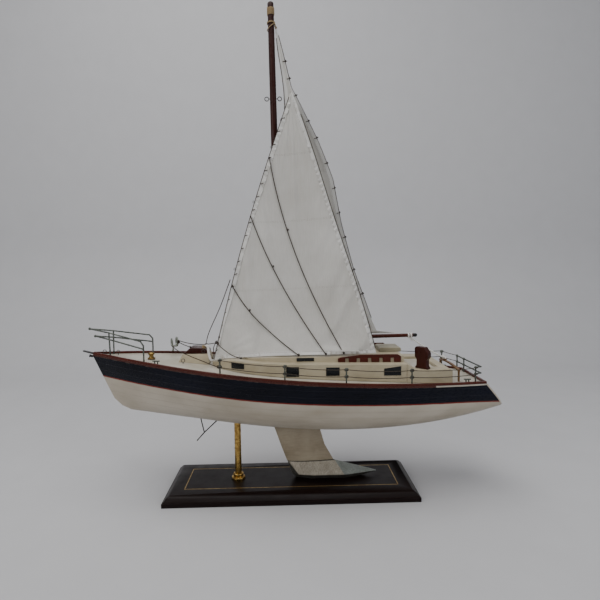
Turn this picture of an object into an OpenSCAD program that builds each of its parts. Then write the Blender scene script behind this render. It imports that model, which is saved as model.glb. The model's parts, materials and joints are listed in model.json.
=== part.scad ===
// Display model of a cruising sailing yacht on a stand.
// Origin: middle of the base board's underside. +X is aft, +Y is starboard, +Z is up.

/* [Stand] */
// Length of the base board
base_l = 277; // [265:1:290]
// Width of the base board
base_w = 91; // [86:1:98]
// Height of the base board
base_h = 10.5; // [10:0.1:11]
// Step in from the edge of the plinth to the edge of the top
moulding_in = 7.7; // [6:0.1:9]
// Distance of the inlaid line from the edge of the top
inlay_in = 12.3; // [10:0.1:15]
// Width of the inlaid line
inlay_w = 0.9; // [0.6:0.1:1.4]
// Place of the post along the base
post_x = -61.5; // [-64:0.5:-58]
// Diameter of the post
post_d = 7.5; // [6.5:0.1:8.5]
// Diameter of the flange at the foot of the post
flange_d = 15.5; // [13:0.1:18]

/* [Hull] */
// Place of the stem head along the length
bow_x = -221; // [-223:0.5:-219]
// Length of the deck
deck_l = 433; // [429:1:437]
// Greatest beam
beam = 134; // [128:1:140]
// Beam at the transom
stern_beam = 68; // [62:1:74]
// Place of the greatest beam
widest_x = 30; // [20:1:40]
// Height of the toe rail at the bow
bow_z = 160.2; // [159.5:0.1:161]
// Height of the toe rail at the stern
stern_z = 127.4; // [126.8:0.1:128]
// Dip of the sheer line below a straight line
sheer_sag = 3.6; // [3:0.1:4]
// Height of the lowest point of the hull
low_z = 70; // [69.5:0.1:71]
// Place of the lowest point of the hull
low_x = 45; // [40:1:50]
// Rise of the bottom towards the bow
bow_rise = 22.8; // [21:0.1:24]
// Rise of the bottom towards the stern
stern_rise = 24.5; // [23:0.1:26]
// Rise of the rounded forefoot
forefoot_rise = 10.6; // [9:0.1:12]
// Slope of the stem, measured along the length
stem_rake = 21.5; // [19:0.5:24]
// Slope of the transom, measured along the length
transom_rake = 24; // [21:0.5:27]
// Thickness of the planking
hull_t = 1.8; // [1.5:0.1:2.2]

/* [Keel] */
// Chord of the fin at the hull
fin_root = 53; // [50:0.5:56]
// Thickness of the fin
fin_t = 7; // [6:0.1:8]
// Width of the keel shoe
shoe_w = 20; // [17:0.5:23]
// Length of the keel shoe at its widest level
shoe_l = 96; // [92:1:99]

/* [Deck] */
// Thickness of the deck
deck_t = 1.6; // [1.4:0.1:1.8]
// Height of the toe rails
rail_h = 2.6; // [2.2:0.1:2.8]
// Width of the toe rails
rail_w = 3; // [2.6:0.1:3.4]
// Diameter of the stanchions
stanchion_d = 1.6; // [1.3:0.1:1.8]
// Height of the stanchions above the deck
stanchion_h = 16.6; // [15.5:0.1:17.5]
// Diameter of the bent wire of the pulpit and the pushpit
wire_d = 1.6; // [1.4:0.1:1.7]
// Diameter of the rigging thread
thread_d = 0.5; // [0.4:0.1:0.7]

/* [Cabin] */
// Width of the cabin trunk
trunk_w = 92; // [88:1:94]
// Width of the coachroof
roof_w = 72; // [69:1:73]
// Height of the coachroof's top above the base's underside
roof_z = 157.3; // [156.8:0.1:157.5]
// Thickness of the cabin sides
cabin_t = 2; // [1.5:0.1:2.5]
// Height of the cockpit coaming's top
coaming_z = 143.6; // [142.8:0.1:144.4]

/* [Rig] */
// Place of the mast's foot
mast_x = -11; // [-12:0.1:-10]
// Forward lean of the mast in degrees
mast_lean = 0.85; // [0.7:0.05:1]
// Length of the mast
mast_l = 379.8; // [374:0.1:384]
// Diameter of the mast at the foot
mast_d = 8.2; // [7.6:0.1:8.8]
// Length of the boom from the mast's middle
boom_l = 156.5; // [152:0.5:160]
// Diameter of the boom at the mast
boom_d = 5; // [4.6:0.1:5.2]
// Thickness of the sail cloth solids
sail_t = 0.8; // [0.7:0.1:1]

/* [Hidden] */

// Gap of a glue line between two pieces that touch
glue = 0.02;
// Radial gap of a round piece in its hole
slip = 0.05;
// Stations along the hull and steps around half a section
stations = 30;
girth_steps = 10;

stern_x = bow_x + deck_l;
stem_half = 1.5;
foot_x = bow_x + stem_rake;
forefoot_l = 20;
bow_run = low_x - foot_x - 22.5;
stern_run = stern_x + transom_rake - low_x;
bow_fullness = 1.35;
stern_fullness = 3;
full_from = 0.45;
rake_power = 10;
rail_out = 0.6;
station_x = [for (i = [0:stations]) bow_x + deck_l * i / stations];

// Heights along the deck, at a place x
function deck_u(x) = min(max((x - bow_x) / deck_l, 0), 1);
function rail_z(x) = bow_z - (bow_z - stern_z) * deck_u(x) - sheer_sag * pow(sin(180 * deck_u(x)), 2);
function deck_z(x) = rail_z(x) - rail_h;
function sheer_z(x) = deck_z(x) - deck_t;

// Half of the deck's width at a place x
function half_beam(x) =
    x < widest_x
    ? beam / 2 * (1 - pow((widest_x - x) / (widest_x - bow_x), 2.2))
    : beam / 2 - (beam - stern_beam) / 2 * pow((x - widest_x) / (stern_x - widest_x), 2.35);
function deck_half(x, in = 0) = max(half_beam(x) - in, stem_half - in);

// Place and height of the keel line
function keel_x(u) =
    bow_x + deck_l * u + stem_rake * pow(1 - u, rake_power) + transom_rake * pow(u, rake_power);
function keel_z(x) =
    low_z
    + (x < low_x ? bow_rise * pow((low_x - x) / bow_run, 1.5) : stern_rise * pow((x - low_x) / stern_run, 2))
    + forefoot_rise * pow(max(0, 1 - (x - foot_x) / forefoot_l), 2);

// Fullness of a section: 1 is a straight V, 2 an ellipse, more is boxy
function fullness(u) =
    u < full_from
    ? bow_fullness + (2 - bow_fullness) * u / full_from
    : 2 + (stern_fullness - 2) * pow((u - full_from) / (1 - full_from), 2);

// A point of the skin: u runs from stem to transom, a from -90 at the port rail to 90 at starboard
function skin(u, a, in) =
    let (
        power = 2 / fullness(u),
        xs = bow_x + deck_l * u,
        xk = keel_x(u),
        zs = sheer_z(xs) - glue,
        zk = keel_z(xk),
        b = max(half_beam(xs), stem_half) - in,
        z = zk + in + (zs - zk - in) * (1 - pow(cos(a), power))
    )
    [xk + (xs - xk) * (z - zk) / (zs - zk), sign(a) * b * pow(sin(abs(a)), power), z];

// Port and starboard edge of the deck as one outline
function deck_outline(in) = concat(
    [for (x = station_x) [x, -deck_half(x, in)]],
    [for (i = [stations:-1:0]) [station_x[i], deck_half(station_x[i], in)]]
);

// Mixes two values
function mix(a, b, t) = a + (b - a) * t;

// A profile in the X-Z plane, extruded along Y between two faces
module slab_y(points, y0, y1) {
    translate([0, y1, 0])
        rotate([90, 0, 0])
            linear_extrude(y1 - y0)
                polygon(points);
}

// A band that follows the deck between two heights above its top
module deck_band(low, high) {
    slab_y(
        concat(
            [for (x = station_x) [x, deck_z(x) + low]],
            [for (i = [stations:-1:0]) [station_x[i], deck_z(station_x[i]) + high]]
        ),
        -beam, beam
    );
}

// Puts its children at a point, with their Z axis towards another
module facing(a, b) {
    v = b - a;
    translate(a)
        rotate([0, acos(v[2] / norm(v)), atan2(v[1], v[0])])
            children();
}

// A straight round rod between two points
module rod(a, b, d) {
    facing(a, b)
        cylinder(h = norm(b - a), d = d, $fn = 24);
}

// A bent wire through a row of points, with a round bead at each corner
module wire(points, d, turn = 50) {
    last = len(points) - 1;
    for (i = [0:last - 1])
        rod(points[i], points[i + 1], d);
    if (last > 1)
        for (i = [1:last - 1])
            if (turn > 0)
                facing(points[i], points[i + 1])
                    rotate([0, 0, turn])
                        sphere(d = 1.2 * d, $fn = 24);
            else
                translate(points[i])
                    sphere(d = 1.2 * d, $fn = 24);
}

// A ring whose hole faces along Y
module eye(p, r, d) {
    translate(p)
        rotate([90, 0, 0])
            rotate_extrude($fn = 32)
                translate([r, 0])
                    circle(d = d, $fn = 16);
}

// ---------------------------------------------------------------- stand

plinth_h = 4.6;
cove_h = 8.4;
top_l = base_l - 2 * moulding_in;
top_w = base_w - 2 * moulding_in;
inlay_l = top_l - 2 * inlay_in;
inlay_y = top_w - 2 * inlay_in;
inlay_deep = 0.4;
shoe_screw_x = 32;
screw_d = 3;
screw_head_d = 6;
screw_head_h = 2;
screw_top = base_h + 9;

module flat_board(l, w, z0, z1) {
    translate([-l / 2, -w / 2, z0])
        cube([l, w, z1 - z0]);
}

module inlay_frame(deep, grow) {
    difference() {
        flat_board(inlay_l + grow, inlay_y + grow, base_h - deep, base_h + grow);
        flat_board(inlay_l - 2 * inlay_w - grow, inlay_y - 2 * inlay_w - grow, 0, base_h + 1);
    }
}

module stand_base() {
    color("#24110f")
        difference() {
            union() {
                flat_board(base_l, base_w, 0, plinth_h);
                hull() {
                    flat_board(base_l - 2, base_w - 2, plinth_h - 0.1, plinth_h + 0.4);
                    flat_board(base_l - moulding_in, base_w - moulding_in, cove_h - 0.1, cove_h);
                }
                hull() {
                    flat_board(base_l - moulding_in, base_w - moulding_in, cove_h - 0.1, cove_h);
                    flat_board(top_l, top_w, base_h - 0.6, base_h);
                }
            }
            inlay_frame(inlay_deep, 2 * glue);
            for (x = [post_x, shoe_screw_x])
                translate([x, 0, -1]) {
                    cylinder(h = base_h + 2, d = screw_d + 2 * slip, $fn = 32);
                    cylinder(h = screw_head_h + 1.6, d = screw_head_d + 4 * slip, $fn = 32);
                }
        }
}

module base_inlay() {
    color("#c29a4a")
        inlay_frame(inlay_deep - glue, 0);
}

post_top = keel_z(post_x) + hull_t + 9;

module stand_post() {
    color("#b98a2e")
        difference() {
            translate([post_x, 0, base_h + glue])
                cylinder(h = post_top - base_h - glue, d = post_d, $fn = 48);
            translate([post_x, 0, base_h - 1])
                cylinder(h = screw_top - base_h + 1.5, d = screw_d + 2 * slip, $fn = 32);
        }
}

module post_flange() {
    r = flange_d / 2;
    bore = post_d / 2 + slip;
    color("#c49a3a")
        translate([post_x, 0, base_h + glue])
            rotate_extrude($fn = 64)
                polygon([
                    [bore, 0], [r, 0], [r, 1.8], [r - 0.6, 2.4],
                    [r - 2.2, 2.8], [r - 1.8, 4.2], [r - 1.8, 5.6], [r - 2.4, 6.4], [bore, 6.8]
                ]);
}

module base_screws() {
    color("#9a9a9a")
        for (x = [post_x, shoe_screw_x])
            translate([x, 0, 0.4]) {
                cylinder(h = screw_head_h, d = screw_head_d, $fn = 32);
                cylinder(h = screw_top - 0.8, d = screw_d, $fn = 32);
            }
}

// ---------------------------------------------------------------- hull

tenon_x0 = -14;
tenon_x1 = 26;
tenon_w = 3.4;
tenon_top = 84;
block_l = 18;
block_w = 15;
block_h = 12.5;
block_z = keel_z(post_x) + hull_t + 2.6;
spine_w = 3;
spine_h = 20;
bulkhead_w = 3;
bulkhead_x = [-140, -98, -36, 50, 104, 150];

// Closed skin, solid between the stem and the first station aft of it
module hull_skin() {
    side = 2 * girth_steps + 1;
    last = side - 1;
    inner0 = (stations + 1) * side;
    angle = [for (j = [0:last]) -90 + 90 * j / girth_steps];
    outer_points = [for (i = [0:stations]) for (a = angle) skin(i / stations, a, 0)];
    inner_points = [for (i = [1:stations]) for (a = angle) skin(i / stations, a, hull_t)];
    outer_walls = [
        for (i = [0:stations - 1])
            for (j = [0:last - 1])
                let (a = i * side + j, b = a + side)
                each [[a, a + 1, b + 1], [a, b + 1, b]]
    ];
    inner_walls = [
        for (i = [0:stations - 2])
            for (j = [0:last - 1])
                let (a = inner0 + i * side + j, b = a + side)
                each [[a + 1, a, b], [a + 1, b, b + 1]]
    ];
    stem_face = [[for (j = [last:-1:0]) j]];
    inner_face = [[for (j = [0:last]) inner0 + j]];
    aft_o = stations * side;
    aft_n = inner0 + (stations - 1) * side;
    aft_rim = [
        for (j = [0:last - 1])
            each [[aft_o + j, aft_o + j + 1, aft_n + j + 1], [aft_o + j, aft_n + j + 1, aft_n + j]]
    ];
    top_rims = [
        for (i = [1:stations - 1])
            let (o = i * side, n = inner0 + (i - 1) * side)
            each [
                [o, o + side, n + side], [o, n + side, n],
                [o + side + last, o + last, n + last], [o + side + last, n + last, n + side + last]
            ]
    ];
    bow_top = [
        [0, side, inner0], [0, inner0, inner0 + last],
        [0, inner0 + last, side + last], [0, side + last, last]
    ];
    polyhedron(
        concat(outer_points, inner_points),
        concat(outer_walls, inner_walls, stem_face, inner_face, aft_rim, top_rims, bow_top),
        convexity = 6
    );
}

module keel_tenon(grow) {
    translate([tenon_x0 - grow, -tenon_w / 2 - grow, 66])
        cube([tenon_x1 - tenon_x0 + 2 * grow, tenon_w + 2 * grow, tenon_top - 66 + grow]);
}

module hull_shell() {
    color("#141a2c")
        difference() {
            hull_skin();
            translate([post_x, 0, low_z - 5])
                cylinder(h = 30, d = post_d + 4 * slip, $fn = 48);
            keel_tenon(2 * slip);
        }
}

transom_h = norm([transom_rake, sheer_z(stern_x) - keel_z(keel_x(1))]);
transom_slope = atan(transom_rake / (sheer_z(stern_x) - keel_z(keel_x(1))));

// Outline of the hull's aft end, in the plane of the transom
function transom_outline() = [
    for (j = [0:2 * girth_steps])
        let (a = -90 + 90 * j / girth_steps, power = 2 / stern_fullness)
        [
            (transom_h - 4 * glue) * (1 - pow(cos(a), power)),
            sign(a) * stern_beam / 2 * pow(sin(abs(a)), power)
        ]
];

module transom() {
    color("#efe9da")
        translate([keel_x(1), 0, keel_z(keel_x(1))])
            rotate([0, -90 - transom_slope, 0])
                translate([0, 0, -deck_t - 2 * glue])
                    linear_extrude(deck_t)
                        polygon(transom_outline());
}

module spine_profile() {
    xs = [for (i = [0:24]) mix(-172, 196, i / 24)];
    slab_y(
        concat(
            [for (x = xs) [x, keel_z(x) + hull_t + 0.9]],
            [for (i = [24:-1:0]) [xs[i], keel_z(xs[i]) + hull_t + spine_h]]
        ),
        -spine_w / 2, spine_w / 2
    );
}

module keel_spine() {
    color("#c9ac7c")
        difference() {
            spine_profile();
            translate([post_x - block_l / 2 - slip, -spine_w, 60])
                cube([block_l + 2 * slip, 2 * spine_w, block_z + block_h + slip - 60]);
            keel_tenon(4 * slip);
        }
}

// Section of the hull's inside at a place x, pulled in by a clearance
function inner_section(x) =
    let (
        u = deck_u(x),
        power = 2 / fullness(u),
        in = hull_t + 1.4,
        b = half_beam(x) - in,
        low = keel_z(x) + in,
        top = sheer_z(x + bulkhead_w) - 2 * glue
    )
    [
        for (j = [0:2 * girth_steps])
            let (a = -90 + 90 * j / girth_steps)
            [sign(a) * b * pow(sin(abs(a)), power), low + (top - low) * (1 - pow(cos(a), power))]
    ];

module bulkheads() {
    color("#d3b98c")
        for (x = bulkhead_x)
            difference() {
                translate([x, 0, 0])
                    rotate([90, 0, 90])
                        linear_extrude(bulkhead_w)
                            polygon(inner_section(x));
                translate([x - 1, -spine_w / 2 - slip, 50])
                    cube([bulkhead_w + 2, spine_w + 2 * slip, keel_z(x) + hull_t + spine_h + 1 - 50]);
                translate([x - 1, 0, (keel_z(x) + sheer_z(x)) / 2 + 14])
                    rotate([0, 90, 0])
                        cylinder(h = bulkhead_w + 2, r = (sheer_z(x) - keel_z(x)) / 7, $fn = 32);
            }
}

module post_block() {
    color("#c9ac7c")
        difference() {
            translate([post_x - block_l / 2, -block_w / 2, block_z])
                cube([block_l, block_w, block_h]);
            translate([post_x, 0, block_z - 1])
                cylinder(h = post_top - block_z + 1 + 2 * glue, d = post_d + 2 * slip, $fn = 48);
        }
}

// ---------------------------------------------------------------- deck and rails

// Places of the stanchions, from bow to stern
stanchion_x = [-72, -6, 56, 124.4];
aft_stanchion_x = 187.6;
stanchion_in = 4.2;
pin_d = 1;
pin_l = 1.2;

// Foot of a stanchion on the deck; side is -1 for port
function stanchion_foot(x, side) = [x, side * (half_beam(x) - stanchion_in), deck_z(x)];
stanchion_feet = concat(
    [for (x = stanchion_x) for (side = [-1, 1]) stanchion_foot(x, side)],
    [stanchion_foot(aft_stanchion_x, 1)]
);

module deck_plate() {
    color("#e9e2ce")
        difference() {
            intersection() {
                linear_extrude(200)
                    polygon(deck_outline(0));
                deck_band(-deck_t, 0);
            }
            for (p = stanchion_feet)
                translate(p - [0, 0, pin_l + 0.1])
                    cylinder(h = 3, d = pin_d + 2 * slip, $fn = 24);
        }
}

// One toe rail; side is -1 for port
module toe_rail(side) {
    outer = [for (x = station_x) [x, side * deck_half(x, -rail_out)]];
    inner = [
        for (i = [stations:-1:0])
            [station_x[i], side * max(half_beam(station_x[i]) - rail_w + rail_out, glue)]
    ];
    intersection() {
        linear_extrude(200)
            polygon(concat(outer, inner));
        deck_band(glue, rail_h);
    }
}

module toe_rail_port() {
    color("#5a1f16")
        toe_rail(-1);
}

module toe_rail_starboard() {
    color("#5a1f16")
        toe_rail(1);
}

module stern_rail() {
    half = stern_beam / 2 - rail_w + rail_out - 4 * glue;
    color("#5a1f16")
        intersection() {
            translate([stern_x - rail_w, -half, 100])
                cube([rail_w, 2 * half, 60]);
            deck_band(glue, rail_h);
        }
}

module bow_plank() {
    root = [bow_x - slip, bow_z - 0.9];
    tip = [bow_x - 11, bow_z + 2];
    color("#17181a")
        slab_y([root, [root[0], root[1] - 1.5], [tip[0], tip[1] - 1.3], tip], -2, 2);
}

module stem_fitting() {
    color("#17181a")
        translate([bow_x - 0.4, 0, bow_z - 5])
            rotate([0, -80, 0]) {
                cylinder(h = 3.4, d = 2.6, $fn = 32);
                translate([0, 0, 3])
                    cylinder(h = 1, d = 3.4, $fn = 32);
            }
}

// ---------------------------------------------------------------- keel

// Half-foil outline of a chord, as shares of chord and thickness
foil_shape = [[0, 0.1], [0.04, 0.5], [0.16, 0.85], [0.36, 1], [0.62, 0.78], [0.86, 0.34], [1, 0.08]];
function foil(x0, x1, t) = concat(
    [for (p = foil_shape) [mix(x0, x1, p[0]), -p[1] * t / 2]],
    [for (i = [len(foil_shape) - 1:-1:0]) [mix(x0, x1, foil_shape[i][0]), foil_shape[i][1] * t / 2]]
);

module foil_plate(x0, x1, t, z) {
    translate([0, 0, z])
        linear_extrude(0.1)
            polygon(foil(x0, x1, t));
}

fin_x0 = -20.5;
seam_z = 30;
bend_z = 48;

module keel_fin() {
    root_z = keel_z(fin_x0) - 0.5;
    slope = atan((root_z - keel_z(fin_x0 + fin_root) + 0.45) / fin_root);
    color("#ece6d8") {
        hull() {
            foil_plate(-5.2, 48.5, fin_t - 1, seam_z);
            foil_plate(-11.9, 38.4, fin_t - 0.5, bend_z);
        }
        hull() {
            foil_plate(-11.9, 38.4, fin_t - 0.5, bend_z);
            translate([fin_x0, 0, root_z])
                rotate([0, slope, 0])
                    translate([0, 0, -0.1])
                        foil_plate(0, fin_root, fin_t, 0);
        }
        translate([tenon_x0, -tenon_w / 2, 60])
            cube([tenon_x1 - tenon_x0, tenon_w, tenon_top - 60]);
    }
}

module keel_shoe() {
    tail = shoe_l + 2;
    ridge = [
        [0, -1], [8, -shoe_w * 0.34], [24, -shoe_w / 2], [62, -shoe_w / 2], [tail, -0.5],
        [tail, 0.5], [62, shoe_w / 2], [24, shoe_w / 2], [8, shoe_w * 0.34], [0, 1]
    ];
    color("#a9a9a2")
        difference() {
            hull() {
                foil_plate(-4.8, 48.2, fin_t - 0.9, seam_z - 0.12);
                translate([0, 0, 15.5])
                    linear_extrude(0.6)
                        polygon(ridge);
                translate([6, 0, base_h + glue])
                    linear_extrude(0.2)
                        polygon([
                            [0, -2], [16, -6.5], [56, -6.5], [74, -1],
                            [74, 1], [56, 6.5], [16, 6.5], [0, 2]
                        ]);
            }
            translate([shoe_screw_x, 0, base_h - 1])
                cylinder(h = screw_top - base_h + 1.5, d = screw_d + 2 * slip, $fn = 32);
        }
}

module underhull_bracket() {
    joint = [-99.5, 0, 65];
    leg_a = [-103.2, 0, keel_z(-103.2) - 0.4];
    leg_b = [-84, 0, keel_z(-84) - 0.7];
    color("#d8d2c4") {
        wire([leg_a, joint], 1.3);
        wire([leg_b, joint, [-108, 0, 55.4]], 1.3);
    }
}

// ---------------------------------------------------------------- wire work and lines

knob_d = stanchion_d + 1.5;

// Shift of the pulpit's starboard half towards the bow, per 20 of width
pulpit_skew = 4;

// Point of the pulpit's frame, with the starboard half shifted forward
function pulpit_point(side, x, y, z) = [x - (side > 0 ? pulpit_skew * y / 20 : 0), side * y, z];
function pulpit_foot(side, x, y) =
    let (p = pulpit_point(side, x, y, 0)) [p[0], p[1], deck_z(p[0]) + 0.1];

pulpit_tip = [-224, 0, 186.3];
pulpit_low_tip = [-218, 0, 178];
knot_d = 3;

function pulpit_top(side) = [
    pulpit_foot(side, -157, 26), pulpit_point(side, -157, 26, 170.5),
    pulpit_point(side, -160.5, 24.5, 175), pulpit_point(side, -199.5, 9, 182.6), pulpit_tip
];
function pulpit_leg(side) = [pulpit_foot(side, -199.5, 7.2), pulpit_point(side, -199.5, 9, 182.6)];
function pulpit_mid(side) = [
    pulpit_point(side, -157, 26, 166.8), mix(pulpit_leg(side)[0], pulpit_leg(side)[1], 0.72), pulpit_low_tip
];

module pulpit() {
    color("#3f4541") {
        for (side = [-1, 1]) {
            wire(pulpit_top(side), wire_d);
            wire(pulpit_mid(side), wire_d);
            wire(pulpit_leg(side), wire_d);
        }
        for (p = [pulpit_tip, pulpit_low_tip])
            translate(p)
                sphere(d = knot_d, $fn = 24);
    }
}

// Pushpit: foot places, and how far each corner's rails lie below the port one's
push_posts = [
    [199, -(half_beam(199) - stanchion_in), 0], [208, 20.5, 2.2], [203, 29, -0.2]
];
push_corner = [208.5, -26, 1.3];
push_path = [push_posts[0], push_corner, push_posts[1], push_posts[2]];
push_high = 143;
push_low = 136;

function push_point(p, z) = [p[0], p[1], z - p[2]];

module pushpit() {
    color("#3f4541") {
        for (z = [push_low, push_high])
            wire([for (p = push_path) push_point(p, z)], wire_d);
        for (p = push_posts) {
            rod([p[0], p[1], deck_z(p[0]) + 0.1], push_point(p, push_high), stanchion_d);
            for (z = [push_low, push_high])
                translate(push_point(p, z))
                    sphere(d = knob_d, $fn = 24);
        }
    }
}

stanchion_mid = 8.6;
stanchion_top = stanchion_h - 0.9;

// The aftmost stanchion is longer than the others
function stanchion_rise(x) = x < aft_stanchion_x ? 0 : 4.6;

module stanchion(p) {
    translate(p) {
        translate([0, 0, -pin_l])
            cylinder(h = pin_l + 1, d = pin_d, $fn = 24);
        translate([0, 0, 0.3])
            cylinder(h = 0.9, d = stanchion_d + 1.4, $fn = 24);
        translate([0, 0, 0.3])
            cylinder(h = stanchion_top + stanchion_rise(p[0]), d = stanchion_d, $fn = 24);
        for (z = [stanchion_mid, stanchion_top])
            translate([0, 0, z + stanchion_rise(p[0])])
                sphere(d = knob_d, $fn = 24);
    }
}

module stanchions() {
    color("#4c524c")
        for (p = stanchion_feet)
            stanchion(p);
}

// A thread between two points that hangs down by a sag
function hanging(a, b, sag, n) = [
    for (i = [0:n])
        mix(a, b, i / n) - [0, 0, 4 * sag * i / n * (1 - i / n)]
];

module thread(points, turn = 50) {
    wire(points, thread_d, turn);
}

// How far a line passes outside a post's middle
line_out = knob_d / 2 + thread_d * 0.6 + 0.1;
function line_point(x, side, h) =
    let (out = line_out + (x < aft_stanchion_x ? 0 : 0.35))
    stanchion_foot(x, side) + [0, side * out, h + stanchion_rise(x)];

module lifelines(side, xs, post) {
    for (high = [false, true]) {
        end = push_point(post, high ? push_high : push_low) + [0, side * line_out, 0];
        run = concat([for (x = xs) line_point(x, side, high ? stanchion_top : stanchion_mid)], [end]);
        thread([
            for (i = [0:len(run) - 2])
                each [for (j = [0:1]) hanging(run[i], run[i + 1], (run[i + 1][0] - run[i][0]) / 40, 2)[j]],
            end
        ]);
    }
}

module lifelines_port() {
    color("#5f5a50")
        lifelines(-1, stanchion_x, push_posts[0]);
}

module lifelines_starboard() {
    color("#5f5a50")
        lifelines(1, concat(stanchion_x, [aft_stanchion_x]), push_posts[2]);
}

// ---------------------------------------------------------------- foredeck fittings

windlass_p = [-154.8, -6];

module windlass() {
    color("#b08a3c")
        translate([windlass_p[0], windlass_p[1], deck_z(windlass_p[0]) + 0.5])
            rotate_extrude($fn = 48)
                polygon([
                    [0, 0], [4.2, 0], [4.2, 1.2], [2.8, 1.8], [2.2, 3.2],
                    [2.6, 4.6], [3.5, 5.4], [3.5, 6.6], [2.4, 7.4], [0, 7.6]
                ]);
}

// Two upright rings on a short post that stands on the starboard toe rail
ring_foot = [-141.4, half_beam(-141.4) - 0.9];
ring_low = [-142.6, 36.6, 163.8];
ring_high = [-136.5, 36.6, 164.6];
ring_turn = -65;

module ring_post() {
    foot = [ring_foot[0], ring_foot[1], rail_z(ring_foot[0]) + 0.25];
    bar_z = ring_low[2] - 4.4;
    color("#6d736c") {
        translate(foot) {
            cylinder(h = 0.9, d = 2.8, $fn = 32);
            cylinder(h = bar_z - foot[2], d = 1.8, $fn = 32);
        }
        rod([ring_low[0] - 0.2, ring_low[1], bar_z], [ring_high[0] + 0.2, ring_low[1], bar_z], 2.2);
        translate(ring_low)
            rotate([0, 0, ring_turn])
                eye([0, 0, 0], 4.2, 1.5);
        translate(ring_high)
            rotate([0, 0, ring_turn])
                eye([0, 0, 0], 4.8, 2.1);
    }
}

// Ring eyes of the foredeck, each on a short stem
deck_eye_p = [[-208.4, 0], [-194.5, 3], [-117.6, -16]];

module foredeck_eyes() {
    r = 1.9;
    color("#6b6a5e")
        for (p = deck_eye_p) {
            z = deck_z(p[0]) + 0.2;
            translate([p[0], p[1], z])
                cylinder(h = 1.8, d = 0.8, $fn = 24);
            eye([p[0], p[1], z + 1.6 + r], r, 0.7);
        }
}

// Places of the cleats: along the length, and the side
cleats = [[-143, -1], [190.5, -1], [188, 1]];

// Horn cleat that points along the length
module cleat(p) {
    translate(p) {
        for (x = [-2, 1])
            translate([x, -0.8, 0])
                cube([1, 1.6, 3.4]);
        translate([-3.8, 0, 3.6])
            rotate([0, 90, 0])
                cylinder(h = 7.6, d = 1.4, $fn = 24);
    }
}

module mooring_cleats() {
    color("#4a4a46")
        for (c = cleats)
            cleat([c[0], c[1] * (half_beam(c[0]) - 8), deck_z(c[0]) + 0.2]);
}

hatch_x0 = -120.5;
hatch_x1 = -92;
hatch_y = 6;
hatch_half = 11;
hatch_z = 156.8;
hatch_flare = 5;

module hatch_coaming() {
    color("#e9e2ce")
        difference() {
            intersection() {
                slab_y([
                    [hatch_x0 - hatch_flare, hatch_z - 10], [hatch_x0, hatch_z],
                    [hatch_x1, hatch_z], [hatch_x1 + 1.6, hatch_z - 10], [hatch_x1 + 1.6, 130],
                    [hatch_x0 - hatch_flare, 130]
                ], -40, 40);
                translate([hatch_x0 - 20, hatch_y, 0])
                    rotate([90, 0, 90])
                        linear_extrude(60)
                            polygon([
                                [-hatch_half - hatch_flare, 130], [hatch_half + hatch_flare, 130],
                                [hatch_half + hatch_flare, hatch_z - 10], [hatch_half, hatch_z],
                                [-hatch_half, hatch_z], [-hatch_half - hatch_flare, hatch_z - 10]
                            ]);
                deck_band(glue, 20);
            }
            translate([hatch_x0 + 2, hatch_y - hatch_half + 2, 120])
                cube([hatch_x1 - hatch_x0 - 4, 2 * hatch_half - 4, 60]);
        }
}

module hatch_lid() {
    color("#4a1913")
        slab_y([
            [hatch_x0 + 0.5, hatch_z + glue], [hatch_x0 + 8, hatch_z + 6.6],
            [hatch_x1 - 5, hatch_z + 6.2], [hatch_x1 - 0.3, hatch_z + 3], [hatch_x1 - 0.3, hatch_z + glue]
        ], hatch_y + 1 - hatch_half, hatch_y + hatch_half - 1);
}

module hatch_ring() {
    color("#6b6a5e")
        eye([hatch_x1 - 5.5, hatch_y + 0.65 - hatch_half, hatch_z + 2.8], 1.8, 0.6);
}

// ---------------------------------------------------------------- cabin

// Plan with a rounded front and straight sides, pulled in by a distance
function front_plan(x0, knee, x1, half, power, in) =
    let (
        n = 14,
        side = [
            for (i = [0:n])
                let (k = 1 - pow(i / n, 1.6))
                [mix(knee, x0 + in, k), (half - in) * sqrt(1 - pow(k, power))]
        ]
    )
    concat(
        side, [[x1 - in, half - in], [x1 - in, in - half]],
        [for (i = [n:-1:1]) [side[i][0], -side[i][1]]]
    );

trunk_x0 = -88;
trunk_x1 = 122;
function trunk_plan(in) = front_plan(trunk_x0, 10, trunk_x1, trunk_w / 2, 2.2, in);

// Height of the cabin trunk's top: a sloped front and a gently falling top
trunk_line = [[trunk_x0, 148.4], [-66, 154.4], [-8, 152.4], [trunk_x1, 150.6]];
function trunk_z(x) = lookup(x, trunk_line);

// Deck stations that lie under a stretch, with the stretch's own ends
function under(x0, x1) = concat([x0], [for (x = station_x) if (x > x0 && x < x1) x], [x1]);

// Solid that stands on the deck between x0 and x1 and has the given line as its top
module on_deck(x0, x1, top) {
    xs = under(x0, x1);
    slab_y(
        concat(top, [for (i = [len(xs) - 1:-1:0]) [xs[i], deck_z(xs[i]) + glue]]),
        -beam, beam
    );
}

module cabin_trunk() {
    color("#e9e2ce")
        difference() {
            intersection() {
                linear_extrude(200)
                    polygon(trunk_plan(0));
                on_deck(trunk_x0, trunk_x1, trunk_line);
            }
            intersection() {
                linear_extrude(200)
                    polygon(trunk_plan(cabin_t));
                slab_y(
                    concat([for (p = trunk_line) p - [0, 1.6]], [[trunk_x1, 110], [trunk_x0, 110]]),
                    -beam, beam
                );
            }
        }
}

roof_x0 = -56;
roof_x1 = trunk_x1 - 1;
roof_line = [[roof_x0, roof_z - 2.1], [-20, roof_z], [roof_x1, roof_z]];
function roof_plan(in) = front_plan(roof_x0, 5, roof_x1, roof_w / 2, 4, in);

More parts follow.
